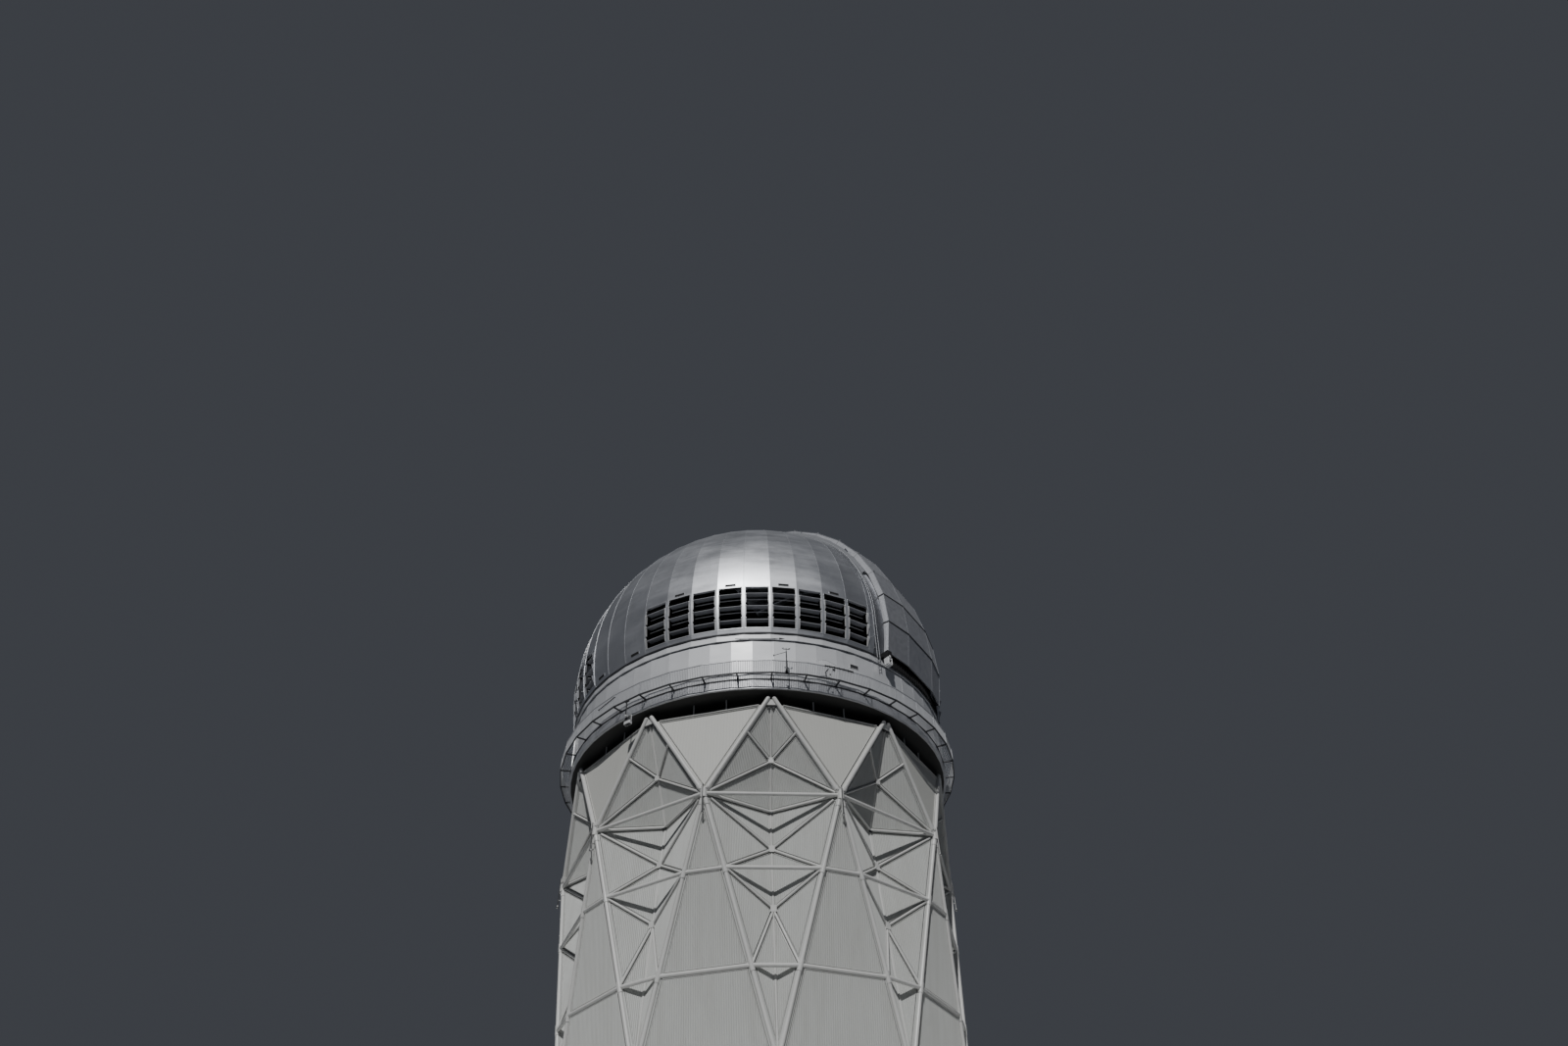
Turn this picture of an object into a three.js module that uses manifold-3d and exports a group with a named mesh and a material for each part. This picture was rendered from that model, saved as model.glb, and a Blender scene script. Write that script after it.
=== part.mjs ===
// Observatory dome building, scale model at half size, in millimetres, +Z up, ground at z 0.
import * as THREE from 'three';
import { mergeVertices } from 'three/addons/utils/BufferGeometryUtils.js';
import Module from 'manifold-3d';

const wasm = await Module();
wasm.setup();

const seat = 0.3;
const bays = 10;
const bayTurn = 360 / bays;
const walkZ = 16200;
const walkOuterR = 8400;
const walkInnerR = 7969;
const walkBeams = 40;

const apex = { r: 7715, z: 15655 };
const knee = { r: 7723, z: 11714 };
const fold = { r: 6270, z: 11592 };
const foot = { r: 7144, z: 3167 };
const wall = 160;
const wallTopZ = 15217;
const edgeR = 85;

const domeZ = 20244;
const domeR = 8240;
const domeWall = 100;
const domeGores = 48;
const goreTurn = 360 / domeGores;
const domeTurn = -3.55;
const slitTurn = domeTurn + 56.25;
const domeBottomZ = 18310;
const slitHalf = 2394;
const slitLowZ = 18480;

const louverLowZ = 18575;
const louverHighZ = 20510;
const louverFill = 0.86;

const shutterCentre = { s: -211, z: 20449 };
const shutterHalf = 2310;
const shutterFlat = 1067;
const shutterSideR = 8316;
const shutterTopR = 8585;
const shutterFootR = 8014;
const shutterSheet = 48;
const shutterStart = -12.7;
const shutterStep = 10.6;
const shutterSteps = 11;
const slitRailR = 8036;
const railStep = 7.5;

const deg = (a) => a * Math.PI / 180;

function at(azimuth, r, z) {
  return new THREE.Vector3(r * Math.sin(deg(azimuth)), -r * Math.cos(deg(azimuth)), z);
}

function faceted(points, faces) {
  const positions = [];
  for (const p of points) {
    positions.push(p.x, p.y, p.z);
  }
  const indices = [];
  for (const face of faces) {
    for (let i = 1; i < face.length - 1; i += 1) {
      indices.push(face[0], face[i], face[i + 1]);
    }
  }
  let volume = 0;
  for (let i = 0; i < indices.length; i += 3) {
    const a = points[indices[i]];
    const b = points[indices[i + 1]];
    const c = points[indices[i + 2]];
    volume += a.dot(b.clone().cross(c));
  }
  if (volume < 0) {
    indices.reverse();
  }
  const geometry = new THREE.BufferGeometry();
  geometry.setAttribute('position', new THREE.Float32BufferAttribute(positions, 3));
  geometry.setIndex(indices);
  return geometry;
}

function solid(geometry) {
  const bare = new THREE.BufferGeometry();
  bare.setAttribute('position', geometry.getAttribute('position').clone());
  if (geometry.index) {
    bare.setIndex(geometry.index.clone());
  }
  const merged = mergeVertices(bare, 1e-3);
  const source = merged.index.array;
  const kept = [];
  for (let i = 0; i < source.length; i += 3) {
    const [a, b, c] = [source[i], source[i + 1], source[i + 2]];
    if (a !== b && b !== c && a !== c) {
      kept.push(a, b, c);
    }
  }
  const vertProperties = new Float32Array(merged.getAttribute('position').array);
  return new wasm.Manifold(new wasm.Mesh({ numProp: 3, vertProperties, triVerts: new Uint32Array(kept) }));
}

function joined(solids) {
  let list = solids;
  while (list.length > 1) {
    const next = [];
    for (let i = 0; i < list.length; i += 2) {
      next.push(i + 1 < list.length ? list[i].add(list[i + 1]) : list[i]);
    }
    list = next;
  }
  return list[0];
}

// A closed ring swept round the tower axis from an [r, z] outline, with flat sides.
function ring(outline, sides, start = 0) {
  const points = [];
  const faces = [];
  const n = outline.length;
  for (let i = 0; i < sides; i += 1) {
    for (const [r, z] of outline) {
      points.push(at(start + i * 360 / sides, r, z));
    }
  }
  for (let i = 0; i < sides; i += 1) {
    const next = (i + 1) % sides;
    for (let j = 0; j < n; j += 1) {
      const k = (j + 1) % n;
      faces.push([i * n + j, next * n + j, next * n + k, i * n + k]);
    }
  }
  return solid(faceted(points, faces));
}

// A closed body through matching rows of points, capped at both ends.
function sweep(rows, capFaces) {
  const n = rows[0].length;
  const last = (rows.length - 1) * n;
  const faces = [];
  for (const cap of capFaces ?? [rows[0].map((_, i) => i)]) {
    faces.push([...cap].reverse(), cap.map((i) => last + i));
  }
  for (let i = 0; i + 1 < rows.length; i += 1) {
    for (let j = 0; j < n; j += 1) {
      const k = (j + 1) % n;
      faces.push([i * n + j, i * n + k, (i + 1) * n + k, (i + 1) * n + j]);
    }
  }
  return solid(faceted(rows.flat(), faces));
}

function rod(a, b, r, sides, twist = 0) {
  const along = b.clone().sub(a).normalize();
  const flat = new THREE.Vector3(0, 0, 1).cross(along);
  if (flat.length() < 1e-3) {
    flat.set(1, 0, 0);
  }
  flat.normalize();
  const other = along.clone().cross(flat);
  const start = [];
  const end = [];
  for (let i = 0; i < sides; i += 1) {
    const turn = deg((i + 0.5) * 360 / sides + twist);
    const off = flat.clone().multiplyScalar(r * Math.cos(turn)).addScaledVector(other, r * Math.sin(turn));
    start.push(a.clone().add(off));
    end.push(b.clone().add(off));
  }
  return sweep([start, end]);
}

// A block in a frame turned to an azimuth: x across, y towards the axis, z up.
function block(azimuth, r, z, width, depth, height) {
  const geometry = new THREE.BoxGeometry(width, depth, height);
  geometry.translate(0, -r, z);
  geometry.rotateZ(deg(azimuth));
  return solid(geometry);
}

const group = new THREE.Group();

function addNode(name, body, colour, roughness, metalness) {
  const mesh = body.getMesh();
  const geometry = new THREE.BufferGeometry();
  geometry.setAttribute('position', new THREE.Float32BufferAttribute(mesh.vertProperties, 3));
  geometry.setIndex([...mesh.triVerts]);
  const flat = geometry.toNonIndexed();
  flat.computeVertexNormals();
  const node = new THREE.Mesh(flat, new THREE.MeshStandardMaterial({ color: colour, roughness, metalness }));
  node.name = name;
  group.add(node);
}

const A = (k, inset = 0) => at(k * bayTurn, apex.r - inset, apex.z);
const N = (k, inset = 0) => at((k + 0.5) * bayTurn, knee.r - inset, knee.z);
const M = (k, inset = 0) => at(k * bayTurn, fold.r - inset, fold.z);
const B = (k, inset = 0) => at(k * bayTurn, foot.r - inset, foot.z);

// The folded outer form of the tower, moved inwards by an inset.
function towerForm(inset, groundZ) {
  const points = [];
  for (let k = 0; k < bays; k += 1) {
    points.push(A(k, inset), N(k, inset), M(k, inset), B(k, inset), at(k * bayTurn, foot.r - inset, groundZ));
  }
  const faces = [];
  const top = [];
  const bottom = [];
  for (let k = 0; k < bays; k += 1) {
    const [a, n, m, b, g] = [0, 1, 2, 3, 4].map((i) => k * 5 + i);
    const next = ((k + 1) % bays) * 5;
    const last = ((k + bays - 1) % bays) * 5 + 1;
    faces.push([a, n, next], [a, m, n], [a, last, m], [n, m, b], [last, b, m]);
    faces.push([n, b, next + 3], [b, g, next + 4, next + 3]);
    top.push(a);
    bottom.unshift(g);
  }
  faces.push(top, bottom);
  return solid(faceted(points, faces));
}

function spread(p, scale) {
  return new THREE.Vector3(p.x * scale, p.y * scale, p.z);
}

// A wedge through the wall behind a three-cornered panel, grown by a margin.
function panelCut(corners, margin) {
  const centre = corners.reduce((sum, p) => sum.add(p), new THREE.Vector3()).divideScalar(3);
  const grown = corners.map((p) => {
    const out = p.clone().sub(centre);
    return p.clone().addScaledVector(out.normalize(), margin);
  });
  return sweep([1.03, 0.955].map((scale) => grown.map((p) => spread(p, scale))));
}

const legZ = 9043;
const legPoint = (k, side) => N(k).lerp(side > 0 ? B(k + 1) : B(k), (knee.z - legZ) / (knee.z - foot.z));
const onFold = (k, z) => (z > fold.z
  ? M(k).lerp(A(k), (z - fold.z) / (apex.z - fold.z))
  : M(k).lerp(B(k), (fold.z - z) / (fold.z - foot.z)));

// The outward direction of the facet through three points.
function facing(a, b, c) {
  const out = b.clone().sub(a).cross(c.clone().sub(a)).normalize();
  const outwards = out.x * a.x + out.y * a.y;
  return outwards < 0 ? out.negate() : out;
}

// A flat bar lying on a facet, from a to b, seated just clear of it.
function bar(a, b, out, width, height) {
  const along = b.clone().sub(a).normalize();
  const across = along.clone().cross(out).multiplyScalar(width / 2);
  const ends = [a.clone().addScaledVector(along, 90), b.clone().addScaledVector(along, -100)];
  const rows = ends.map((p) => [[-1, seat], [1, seat], [1, height], [-1, height]].map(([w, h]) => (
    p.clone().addScaledVector(across, w).addScaledVector(out, h))));
  return sweep(rows);
}

// The heavy tubes along the folded edges, with a block at each meeting point.
function edgeTubes(extra) {
  const parts = [];
  const knot = (turn, r, z, size) => {
    parts.push(block(turn, r, z, size + 2 * extra, size + 2 * extra, size + 2 * extra));
  };
  const tube = (a, b, twist) => parts.push(rod(a, b, edgeR + extra, 6, twist));
  for (let k = 0; k < bays; k += 1) {
    knot(k * bayTurn, apex.r, apex.z, 199.4);
    knot((k + 0.5) * bayTurn, knee.r, knee.z, 240);
    knot(k * bayTurn, foot.r, foot.z, 200);
    tube(A(k), N(k), 0);
    tube(A(k), N(k - 1), 11);
    tube(N(k), B(k), 4);
    tube(N(k), B(k + 1), 15);
    parts.push(rod(N(k - 1), N(k), 70 + extra, 6, 7));
    parts.push(rod(legPoint(k - 1, 1), legPoint(k, -1), 60 + 2 * extra, 4));
    parts.push(rod(legPoint(k, -1), legPoint(k, 1), 60 + 2 * extra, 4));
    parts.push(rod(A(k).lerp(N(k), 0.119), A(k).lerp(N(k - 1), 0.119), 50 + 2 * extra, 4));
  }
  return joined(parts);
}

function braces() {
  const parts = [];
  for (let k = 0; k < bays; k += 1) {
    const hub = onFold(k, 13290);
    const tie = onFold(k, 10095);
    for (const side of [1, -1]) {
      const end = side > 0 ? N(k) : N(k - 1);
      const upper = facing(A(k), M(k), end);
      const lower = facing(end, M(k), B(k));
      parts.push(bar(hub, end, upper, 80, 80), bar(tie, end, lower, 80, 80));
    }
  }
  return parts;
}

const outerForm = towerForm(0, -60);
const innerForm = towerForm(wall, -120);
const corners = [45, 135, 225, 315];
const slab = (lowZ, highZ) => sweep([lowZ, highZ].map((z) => corners.map((turn) => at(turn, 12000, z))));
const coreAbove = slab(wallTopZ, 17000);
const coreBelow = slab(-500, foot.z);
const shellForm = outerForm.subtract(innerForm).subtract(coreAbove);
const frameRoom = edgeTubes(seat);

const flatCuts = [];
const flatTrims = [];
const pierCuts = [];
const pierTrims = [];
for (let k = 0; k < bays; k += 1) {
  flatCuts.push(panelCut([A(k), N(k), A(k + 1)], -12));
  flatTrims.push(panelCut([A(k), N(k), A(k + 1)], 1.2));
  pierCuts.push(panelCut([N(k), B(k), B(k + 1)], -12));
  pierTrims.push(panelCut([N(k), B(k), B(k + 1)], 1.2));
}

const girtSlab = ring([[5900, 11560], [8000, 11560], [8000, 11800], [5900, 11800]], 40);
const girt = girtSlab.intersect(towerForm(110, -60));
const upperWall = shellForm.subtract(coreBelow);
const facets = upperWall.add(girt).subtract(joined(flatTrims)).subtract(joined(pierTrims)).subtract(frameRoom);
addNode('recess_facets', facets, 0xb9bab6, 0.55, 0.1);

const header = ring([[6650, 15000], [7237, 15000], [7237, 15200], [6650, 15200]], 40);
const flats = upperWall.intersect(joined(flatCuts)).subtract(frameRoom).add(header);
addNode('flat_panels', flats, 0xd9d8cf, 0.5, 0.0);

const sill = ring([[6500, foot.z + seat], [6740, foot.z + seat], [6740, foot.z + 200], [6500, foot.z + 200]], 20);
const piers = upperWall.intersect(joined(pierCuts)).subtract(frameRoom).add(sill);
addNode('pier_panels', piers, 0xb4b5b1, 0.55, 0.1);

const baseTop = foot.z - seat;
const baseOuter = foot.r;
const baseInner = foot.r - wall;
const baseWall = ring([[baseInner, 0], [baseOuter, 0], [baseOuter, baseTop], [baseInner, baseTop]], bays)
  .subtract(frameRoom);
addNode('base_wall', baseWall, 0xc9c8c0, 0.7, 0.0);

const frame = joined([edgeTubes(0), ...braces()]);
addNode('tube_frame', frame, 0xc4c4bf, 0.45, 0.2);

const soffitZ = 15755;
const drumOuterR = 6850;
const drum = ring([[6720, 15200 + seat], [drumOuterR, 15200 + seat], [drumOuterR, 18290], [6720, 18290]], 40);
addNode('inner_drum', drum, 0x4a4b4b, 0.8, 0.0);

const ringZ = domeBottomZ + 1;
const rail = ring([[6760, 18290 + seat], [6820, 18290 + seat], [6820, ringZ - seat], [6760, ringZ - seat]], 40);
addNode('dome_rail', rail, 0x77797b, 0.4, 0.8);

const postSill = ring([[7255, 15217 + seat], [7325, 15217 + seat], [7325, 15257], [7255, 15257]], 40);
const posts = [postSill];
for (let k = 0; k < bays; k += 1) {
  for (const turn of [13, 23]) {
    posts.push(rod(at(k * bayTurn + turn, 7290, 15240), at(k * bayTurn + turn, 7290, soffitZ - seat), 32, 4));
  }
}
addNode('gap_posts', joined(posts), 0xb9bab4, 0.5, 0.2);

const wallFacets = 60;
const wallTurn = -4.95;
const bandInnerR = 7899;
const bandRoom = ring([
  [bandInnerR - seat, soffitZ - 60], [8100, soffitZ - 60], [8100, soffitZ + 120], [bandInnerR - seat, soffitZ + 120],
], wallFacets, wallTurn);
const soffit = ring([
  [drumOuterR + seat, soffitZ], [bandInnerR + 40, soffitZ], [bandInnerR + 40, soffitZ + 60],
  [drumOuterR + seat, soffitZ + 60],
], 40).subtract(bandRoom);
addNode('rim_soffit', soffit, 0x3c3d3d, 0.8, 0.0);

const bandTopZ = walkZ - 67;
const band = ring([
  [bandInnerR, soffitZ - 14], [walkInnerR + 18, soffitZ - 14], [walkInnerR + 18, soffitZ + 22],
  [walkInnerR, soffitZ + 22], [walkInnerR, bandTopZ], [bandInnerR, bandTopZ],
], wallFacets, wallTurn);
addNode('rim_band', band, 0xb6b8bc, 0.35, 0.7);

const beamZ = bandTopZ + seat;
const beamTopZ = walkZ - 25;
const beamParts = [
  ring([[walkInnerR - 45, beamZ], [walkInnerR + 32, beamZ], [walkInnerR + 32, beamTopZ],
    [walkInnerR - 45, beamTopZ]], walkBeams),
  ring([[walkOuterR - 40, beamZ], [walkOuterR, beamZ], [walkOuterR, beamTopZ],
    [walkOuterR - 40, beamTopZ]], walkBeams),
];
for (let i = 0; i < walkBeams; i += 1) {
  const mid = (walkInnerR + walkOuterR) / 2;
  beamParts.push(block(i * 360 / walkBeams, mid, (beamZ + beamTopZ) / 2, 54, 420, beamTopZ - beamZ));
}
addNode('walkway_beams', joined(beamParts), 0x3a3c40, 0.6, 0.3);

const deck = ring([
  [drumOuterR + seat, walkZ - 25 + seat], [walkOuterR, walkZ - 25 + seat],
  [walkOuterR, walkZ], [drumOuterR + seat, walkZ],
], walkBeams);
addNode('walkway_deck', deck, 0xa3a5a4, 0.6, 0.3);

const railingTopZ = walkZ + 550;
const railingParts = [
  ring([[8362, railingTopZ - 34], [8396, railingTopZ - 34], [8396, railingTopZ], [8362, railingTopZ]], walkBeams),
];
for (let i = 0; i < walkBeams; i += 1) {
  railingParts.push(block(i * 360 / walkBeams, 8379, walkZ + seat + 265, 34, 34, 530));
}
addNode('walkway_railing', joined(railingParts), 0x8d9094, 0.5, 0.4);

const wallZ = walkZ + seat;
const wallCapZ = walkZ + 1780;
const rimWall = ring([
  [7890, wallZ], [walkInnerR, wallZ], [walkInnerR + 16, wallCapZ], [7890, wallCapZ],
], wallFacets, wallTurn);
addNode('rim_wall', rimWall, 0xb6b8bc, 0.35, 0.7);

const capRing = ring([
  [7900, wallCapZ + seat], [8046, wallCapZ + seat], [8010, wallCapZ + 38],
  [8010, domeBottomZ - 20], [7900, domeBottomZ - 20],
], 48);
addNode('wall_cap', capRing, 0xb2b4b8, 0.35, 0.7);

// Dome

function domeOutline(r, lowZ) {
  const outline = [[0, lowZ]];
  const start = Math.asin((lowZ - domeZ) / r);
  const steps = 12;
  for (let i = 0; i <= steps; i += 1) {
    const angle = start + (Math.PI / 2 - start) * i / steps;
    outline.push([i === steps ? 0 : r * Math.cos(angle), domeZ + r * Math.sin(angle)]);
  }
  return outline;
}

function domeForm(r, lowZ) {
  const outline = domeOutline(r, lowZ);
  const start = domeTurn + goreTurn / 2;
  const points = [new THREE.Vector3(0, 0, outline[0][1]), new THREE.Vector3(0, 0, outline[outline.length - 1][1])];
  const rows = outline.length - 2;
  for (let i = 0; i < domeGores; i += 1) {
    for (let j = 1; j <= rows; j += 1) {
      points.push(at(start + i * goreTurn, outline[j][0], outline[j][1]));
    }
  }
  const faces = [];
  for (let i = 0; i < domeGores; i += 1) {
    const a = 2 + i * rows;
    const b = 2 + ((i + 1) % domeGores) * rows;
    faces.push([0, b, a]);
    for (let j = 0; j < rows - 1; j += 1) {
      faces.push([a + j, b + j, b + j + 1, a + j + 1]);
    }
    faces.push([a + rows - 1, b + rows - 1, 1]);
  }
  return solid(faceted(points, faces));
}

const louverGroups = [
  { name: 'front', first: -4, count: 9 },
  { name: 'side', first: 11, count: 9 },
  { name: 'back_left', first: -14, count: 7 },
  { name: 'back_right', first: 23, count: 7 },
];
const goreWidth = 2 * domeR * Math.sin(deg(goreTurn / 2));
const louverWidth = goreWidth * louverFill;
const louverMidZ = (louverLowZ + louverHighZ) / 2;
const louverTall = louverHighZ - louverLowZ;

const shellParts = domeForm(domeR, domeBottomZ).subtract(domeForm(domeR - domeWall, domeBottomZ - 30));
const holes = [];
for (const bank of louverGroups) {
  for (let i = 0; i < bank.count; i += 1) {
    const turn = domeTurn + (bank.first + i) * goreTurn;
    holes.push(block(turn, domeR - 60, louverMidZ, louverWidth, 900, louverTall));
  }
}
const slotVents = [[-22.5, 20669], [-7.5, 20669], [7.5, 20669], [22.5, 20669], [-37.5, 18594], [-52.5, 18594]];
for (const [turn, z] of slotVents) {
  holes.push(block(domeTurn + turn, domeR - 60, z, 400, 900, 80));
}
holes.push(block(slitTurn, 3800, (slitLowZ + 29500) / 2, 2 * slitHalf, 10400, 29500 - slitLowZ));
const shell = shellParts.subtract(joined(holes));
addNode('dome_shell', shell, 0xb4b7bc, 0.35, 0.8);

const insideRoom = domeForm(domeR - domeWall - seat, domeBottomZ - 30);
const domeRing = ring([
  [6740, ringZ], [8000, ringZ], [8000, ringZ + 139], [6740, ringZ + 139],
], domeGores, domeTurn).intersect(insideRoom);
addNode('dome_ring', domeRing, 0x6d6f72, 0.6, 0.4);

const innerR = (z) => Math.sqrt((domeR - domeWall) ** 2 - (z - domeZ) ** 2);
for (const bank of louverGroups) {
  const seams = [];
  for (let i = 0; i <= bank.count; i += 1) {
    seams.push(domeTurn + (bank.first + i - 0.5) * goreTurn);
  }
  const parts = [];
  for (const i of [0, Math.floor(bank.count / 2), bank.count]) {
    const post = new THREE.BoxGeometry(120, 160, louverTall + 60);
    post.rotateX(deg(4.96));
    post.translate(0, -8010, louverMidZ);
    post.rotateZ(deg(seams[i]));
    parts.push(solid(post).intersect(insideRoom));
  }
  for (const level of [0.14, 0.47, 0.8]) {
    const z = louverLowZ + louverTall * level;
    const out = innerR(z - 120) - 40;
    const outline = [[out, z - 120], [out - 30, z - 145], [out - 170, z + 120], [out - 140, z + 145]];
    parts.push(sweep(seams.map((turn) => outline.map(([r, h]) => at(turn, r, h)))));
  }
  addNode(`louver_bank_${bank.name}`, joined(parts), 0xc8cacc, 0.5, 0.4);
}

// Slit rails and shutter, built in the slit plane and turned to its azimuth.

function arcBody(section, start, step, count, centre = shutterCentre) {
  const rows = [];
  for (let i = 0; i <= count; i += 1) {
    const angle = deg(start + i * step);
    rows.push(section.map(([w, r]) => {
      const p = at(0, centre.s + r * Math.cos(angle), centre.z + r * Math.sin(angle));
      p.x = w;
      return p.applyAxisAngle(new THREE.Vector3(0, 0, 1), deg(slitTurn));
    }));
  }
  const outline = section.map(([w, r]) => new THREE.Vector2(w, r));
  const forward = THREE.ShapeUtils.isClockWise(outline);
  const caps = THREE.ShapeUtils.triangulateShape(outline, []).map((cap) => {
    const clockwise = THREE.ShapeUtils.isClockWise(cap.map((i) => outline[i]));
    return clockwise === forward ? cap : cap.reverse();
  });
  return sweep(rows, caps);
}

const railRoom = domeForm(domeR + seat, domeBottomZ);
for (const [name, side] of [['right', 1], ['left', -1]]) {
  const section = [[2394, 7500], [2620, 7500], [2620, slitRailR], [2394, slitRailR]];
  const arch = arcBody(section.map(([w, r]) => [side * w, r]), 19, railStep, 21);
  addNode(`slit_arch_${name}`, arch.subtract(railRoom), 0xb4b7bc, 0.4, 0.7);
}

const shutterBox = arcBody([
  [-shutterHalf, shutterFootR], [-shutterHalf, shutterSideR], [-shutterFlat, shutterTopR],
  [shutterFlat, shutterTopR], [shutterHalf, shutterSideR], [shutterHalf, shutterFootR],
  [shutterHalf - shutterSheet, shutterFootR], [shutterHalf - shutterSheet, shutterSideR - 43],
  [shutterFlat - 17, shutterTopR - shutterSheet], [-shutterFlat + 17, shutterTopR - shutterSheet],
  [-shutterHalf + shutterSheet, shutterSideR - 43], [-shutterHalf + shutterSheet, shutterFootR],
], shutterStart, shutterStep, shutterSteps);
const shutterEnd = shutterStart + shutterStep * shutterSteps;
const endPlate = arcBody([
  [-shutterHalf, 8060], [-shutterHalf, shutterSideR], [-shutterFlat, shutterTopR],
  [shutterFlat, shutterTopR], [shutterHalf, shutterSideR], [shutterHalf, 8060],
], shutterEnd - 0.35, 0.35, 1);

// Runner shoes on the shutter's sides, each over a corner of an arch.
const shoes = [];
for (const side of [1, -1]) {
  for (const corner of [2, 5, 8]) {
    const section = [[2280, slitRailR + seat], [2560, slitRailR + seat], [2560, 8110], [2280, 8110]];
    const turn = 19 + corner * railStep;
    shoes.push(arcBody(section.map(([w, r]) => [side * w, r]), turn - 0.4, 0.8, 1));
  }
}
addNode('shutter', joined([shutterBox, endPlate, ...shoes]), 0x9a9ea6, 0.4, 0.7);

// Ladder beside the shutter: upright below the dome's widest ring, then over the curve of the shell.
const ladderW = -2960;
const ladderHalf = 110;
const ladderR = Math.sqrt(domeR ** 2 - ladderW ** 2) + 46;

function ladderBar(low, high, inner, outer, run) {
  const corners = [[low, inner], [high, inner], [high, outer], [low, outer]];
  return sweep(run.map(([angle, drop]) => corners.map(([w, r]) => {
    const p = at(0, r * Math.cos(deg(angle)), domeZ + r * Math.sin(deg(angle)) - drop);
    p.x = w;
    return p.applyAxisAngle(new THREE.Vector3(0, 0, 1), deg(slitTurn));
  })));
}

const ladderRun = [[0, 2300], [0, 0], [7, 0], [14, 0], [21, 0], [28, 0], [35, 0]];
const ladderParts = [];
for (const side of [-1, 1]) {
  const w = ladderW + side * ladderHalf;
  ladderParts.push(ladderBar(w - 18, w + 18, ladderR, ladderR + 40, ladderRun));
  for (const drop of [700, 1650]) {
    ladderParts.push(ladderBar(w - 14, w + 14, ladderR - 300, ladderR + 20, [[0, drop + 22], [0, drop - 22]]));
  }
  for (const turn of [10.5, 31.5]) {
    ladderParts.push(ladderBar(w - 14, w + 14, ladderR - 160, ladderR + 20, [[turn - 0.2, 0], [turn + 0.2, 0]]));
  }
}
const ladderRung = [ladderW - ladderHalf, ladderW + ladderHalf, ladderR + 8, ladderR + 32];
for (let i = 0; i < 8; i += 1) {
  const drop = 150 + i * 290;
  ladderParts.push(ladderBar(...ladderRung, [[0, drop + 12], [0, drop - 12]]));
}
for (let i = 0; i < 8; i += 1) {
  const turn = 1.5 + i * 4.4;
  ladderParts.push(ladderBar(...ladderRung, [[turn - 0.1, 0], [turn + 0.1, 0]]));
}
addNode('dome_ladder', joined(ladderParts).subtract(railRoom), 0xc3c4c4, 0.5, 0.4);

// Drive box under the shutter's near lower corner.
const driveTurn = 34.9;
const driveBox = joined([
  block(driveTurn, 8290, 18035, 320, 260, 590),
  block(driveTurn, 8215, 18415, 320, 410, 200),
]).subtract(railRoom);
addNode('drive_box', driveBox, 0xd0d0cc, 0.5, 0.2);

// Weather mast at the edge of the walkway.
const mastTurn = 3.7;
const mastR = 8490;
const mast = joined([
  block(mastTurn, 8420, walkZ + seat + 32, 90, 180, 64),
  block(mastTurn, mastR, 16720, 34, 34, 940),
  block(mastTurn, mastR, 17190, 260, 26, 26),
  block(mastTurn - 0.85, mastR, 17240, 60, 60, 90),
  block(mastTurn + 0.85, mastR, 17240, 60, 60, 90),
  rod(at(mastTurn, mastR, 17080), at(mastTurn - 3.6, mastR + 20, 16960), 14, 4),
]);
addNode('weather_mast', mast, 0x3a3b3d, 0.6, 0.3);

// Floodlight hung from the walkway's outer beam by a yoke.
const lampTurn = -40.5;
const lampTopZ = beamZ - seat;
const floodlight = joined([
  block(lampTurn, 8350, (lampTopZ + 15470) / 2, 50, 36, lampTopZ - 15470),
  block(lampTurn, 8286, 15470, 70, 180, 50),
  block(lampTurn, 8190, 15310, 280, 150, 370),
]);
addNode('floodlight', floodlight, 0xbfc0bd, 0.5, 0.2);

export default group;
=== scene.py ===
import bpy, bmesh, math
import numpy as np
from mathutils import Matrix, Vector


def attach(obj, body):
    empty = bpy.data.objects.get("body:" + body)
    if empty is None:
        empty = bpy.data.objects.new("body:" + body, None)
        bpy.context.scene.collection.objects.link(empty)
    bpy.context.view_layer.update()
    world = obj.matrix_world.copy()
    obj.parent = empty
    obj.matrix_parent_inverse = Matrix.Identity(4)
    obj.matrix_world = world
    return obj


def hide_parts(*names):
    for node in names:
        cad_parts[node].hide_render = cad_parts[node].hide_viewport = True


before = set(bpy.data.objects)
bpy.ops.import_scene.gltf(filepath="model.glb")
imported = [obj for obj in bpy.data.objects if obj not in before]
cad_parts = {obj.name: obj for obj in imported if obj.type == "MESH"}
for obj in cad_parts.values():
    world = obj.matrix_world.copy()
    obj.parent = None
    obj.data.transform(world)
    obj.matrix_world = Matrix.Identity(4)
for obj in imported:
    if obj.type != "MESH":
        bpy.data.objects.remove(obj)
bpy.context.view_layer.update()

print("frame loaded:", len(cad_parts), "nodes")

# Sizes shared by several pieces, in metres and degrees
tower = {
    "bays": 10, "apex": (7.715, 15.655), "knee": (7.723, 11.714), "fold": (6.270, 11.592),
    "foot": (7.144, 3.167), "hubZ": 13.290, "tieZ": 10.095, "legZ": 9.043,
}
walk = {"z": 16.2, "outer": 8.4, "inner": 7.969, "panels": 40, "railTop": 16.75, "railR": 8.379}
rimWall = {"facets": 60, "turn": -4.95, "panelStart": -1.95, "high": 17.98, "r": 7.969, "capR": 8.046}
dome = {
    "z": 20.244, "r": 8.24, "wall": 0.1, "gores": 48, "turn": -3.55, "low": 18.31, "rows": 60,
    "louverLow": 18.575, "louverHigh": 20.51, "louverFill": 0.86,
    "slitHalf": 2.394, "slitBack": -1.4, "slitLow": 18.48,
}
goreTurn = 360 / dome["gores"]
slitTurn = dome["turn"] + 7.5 * goreTurn
bayTurn = 360 / tower["bays"]
walkTurn = 360 / walk["panels"]
facetTurn = 360 / rimWall["facets"]


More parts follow.
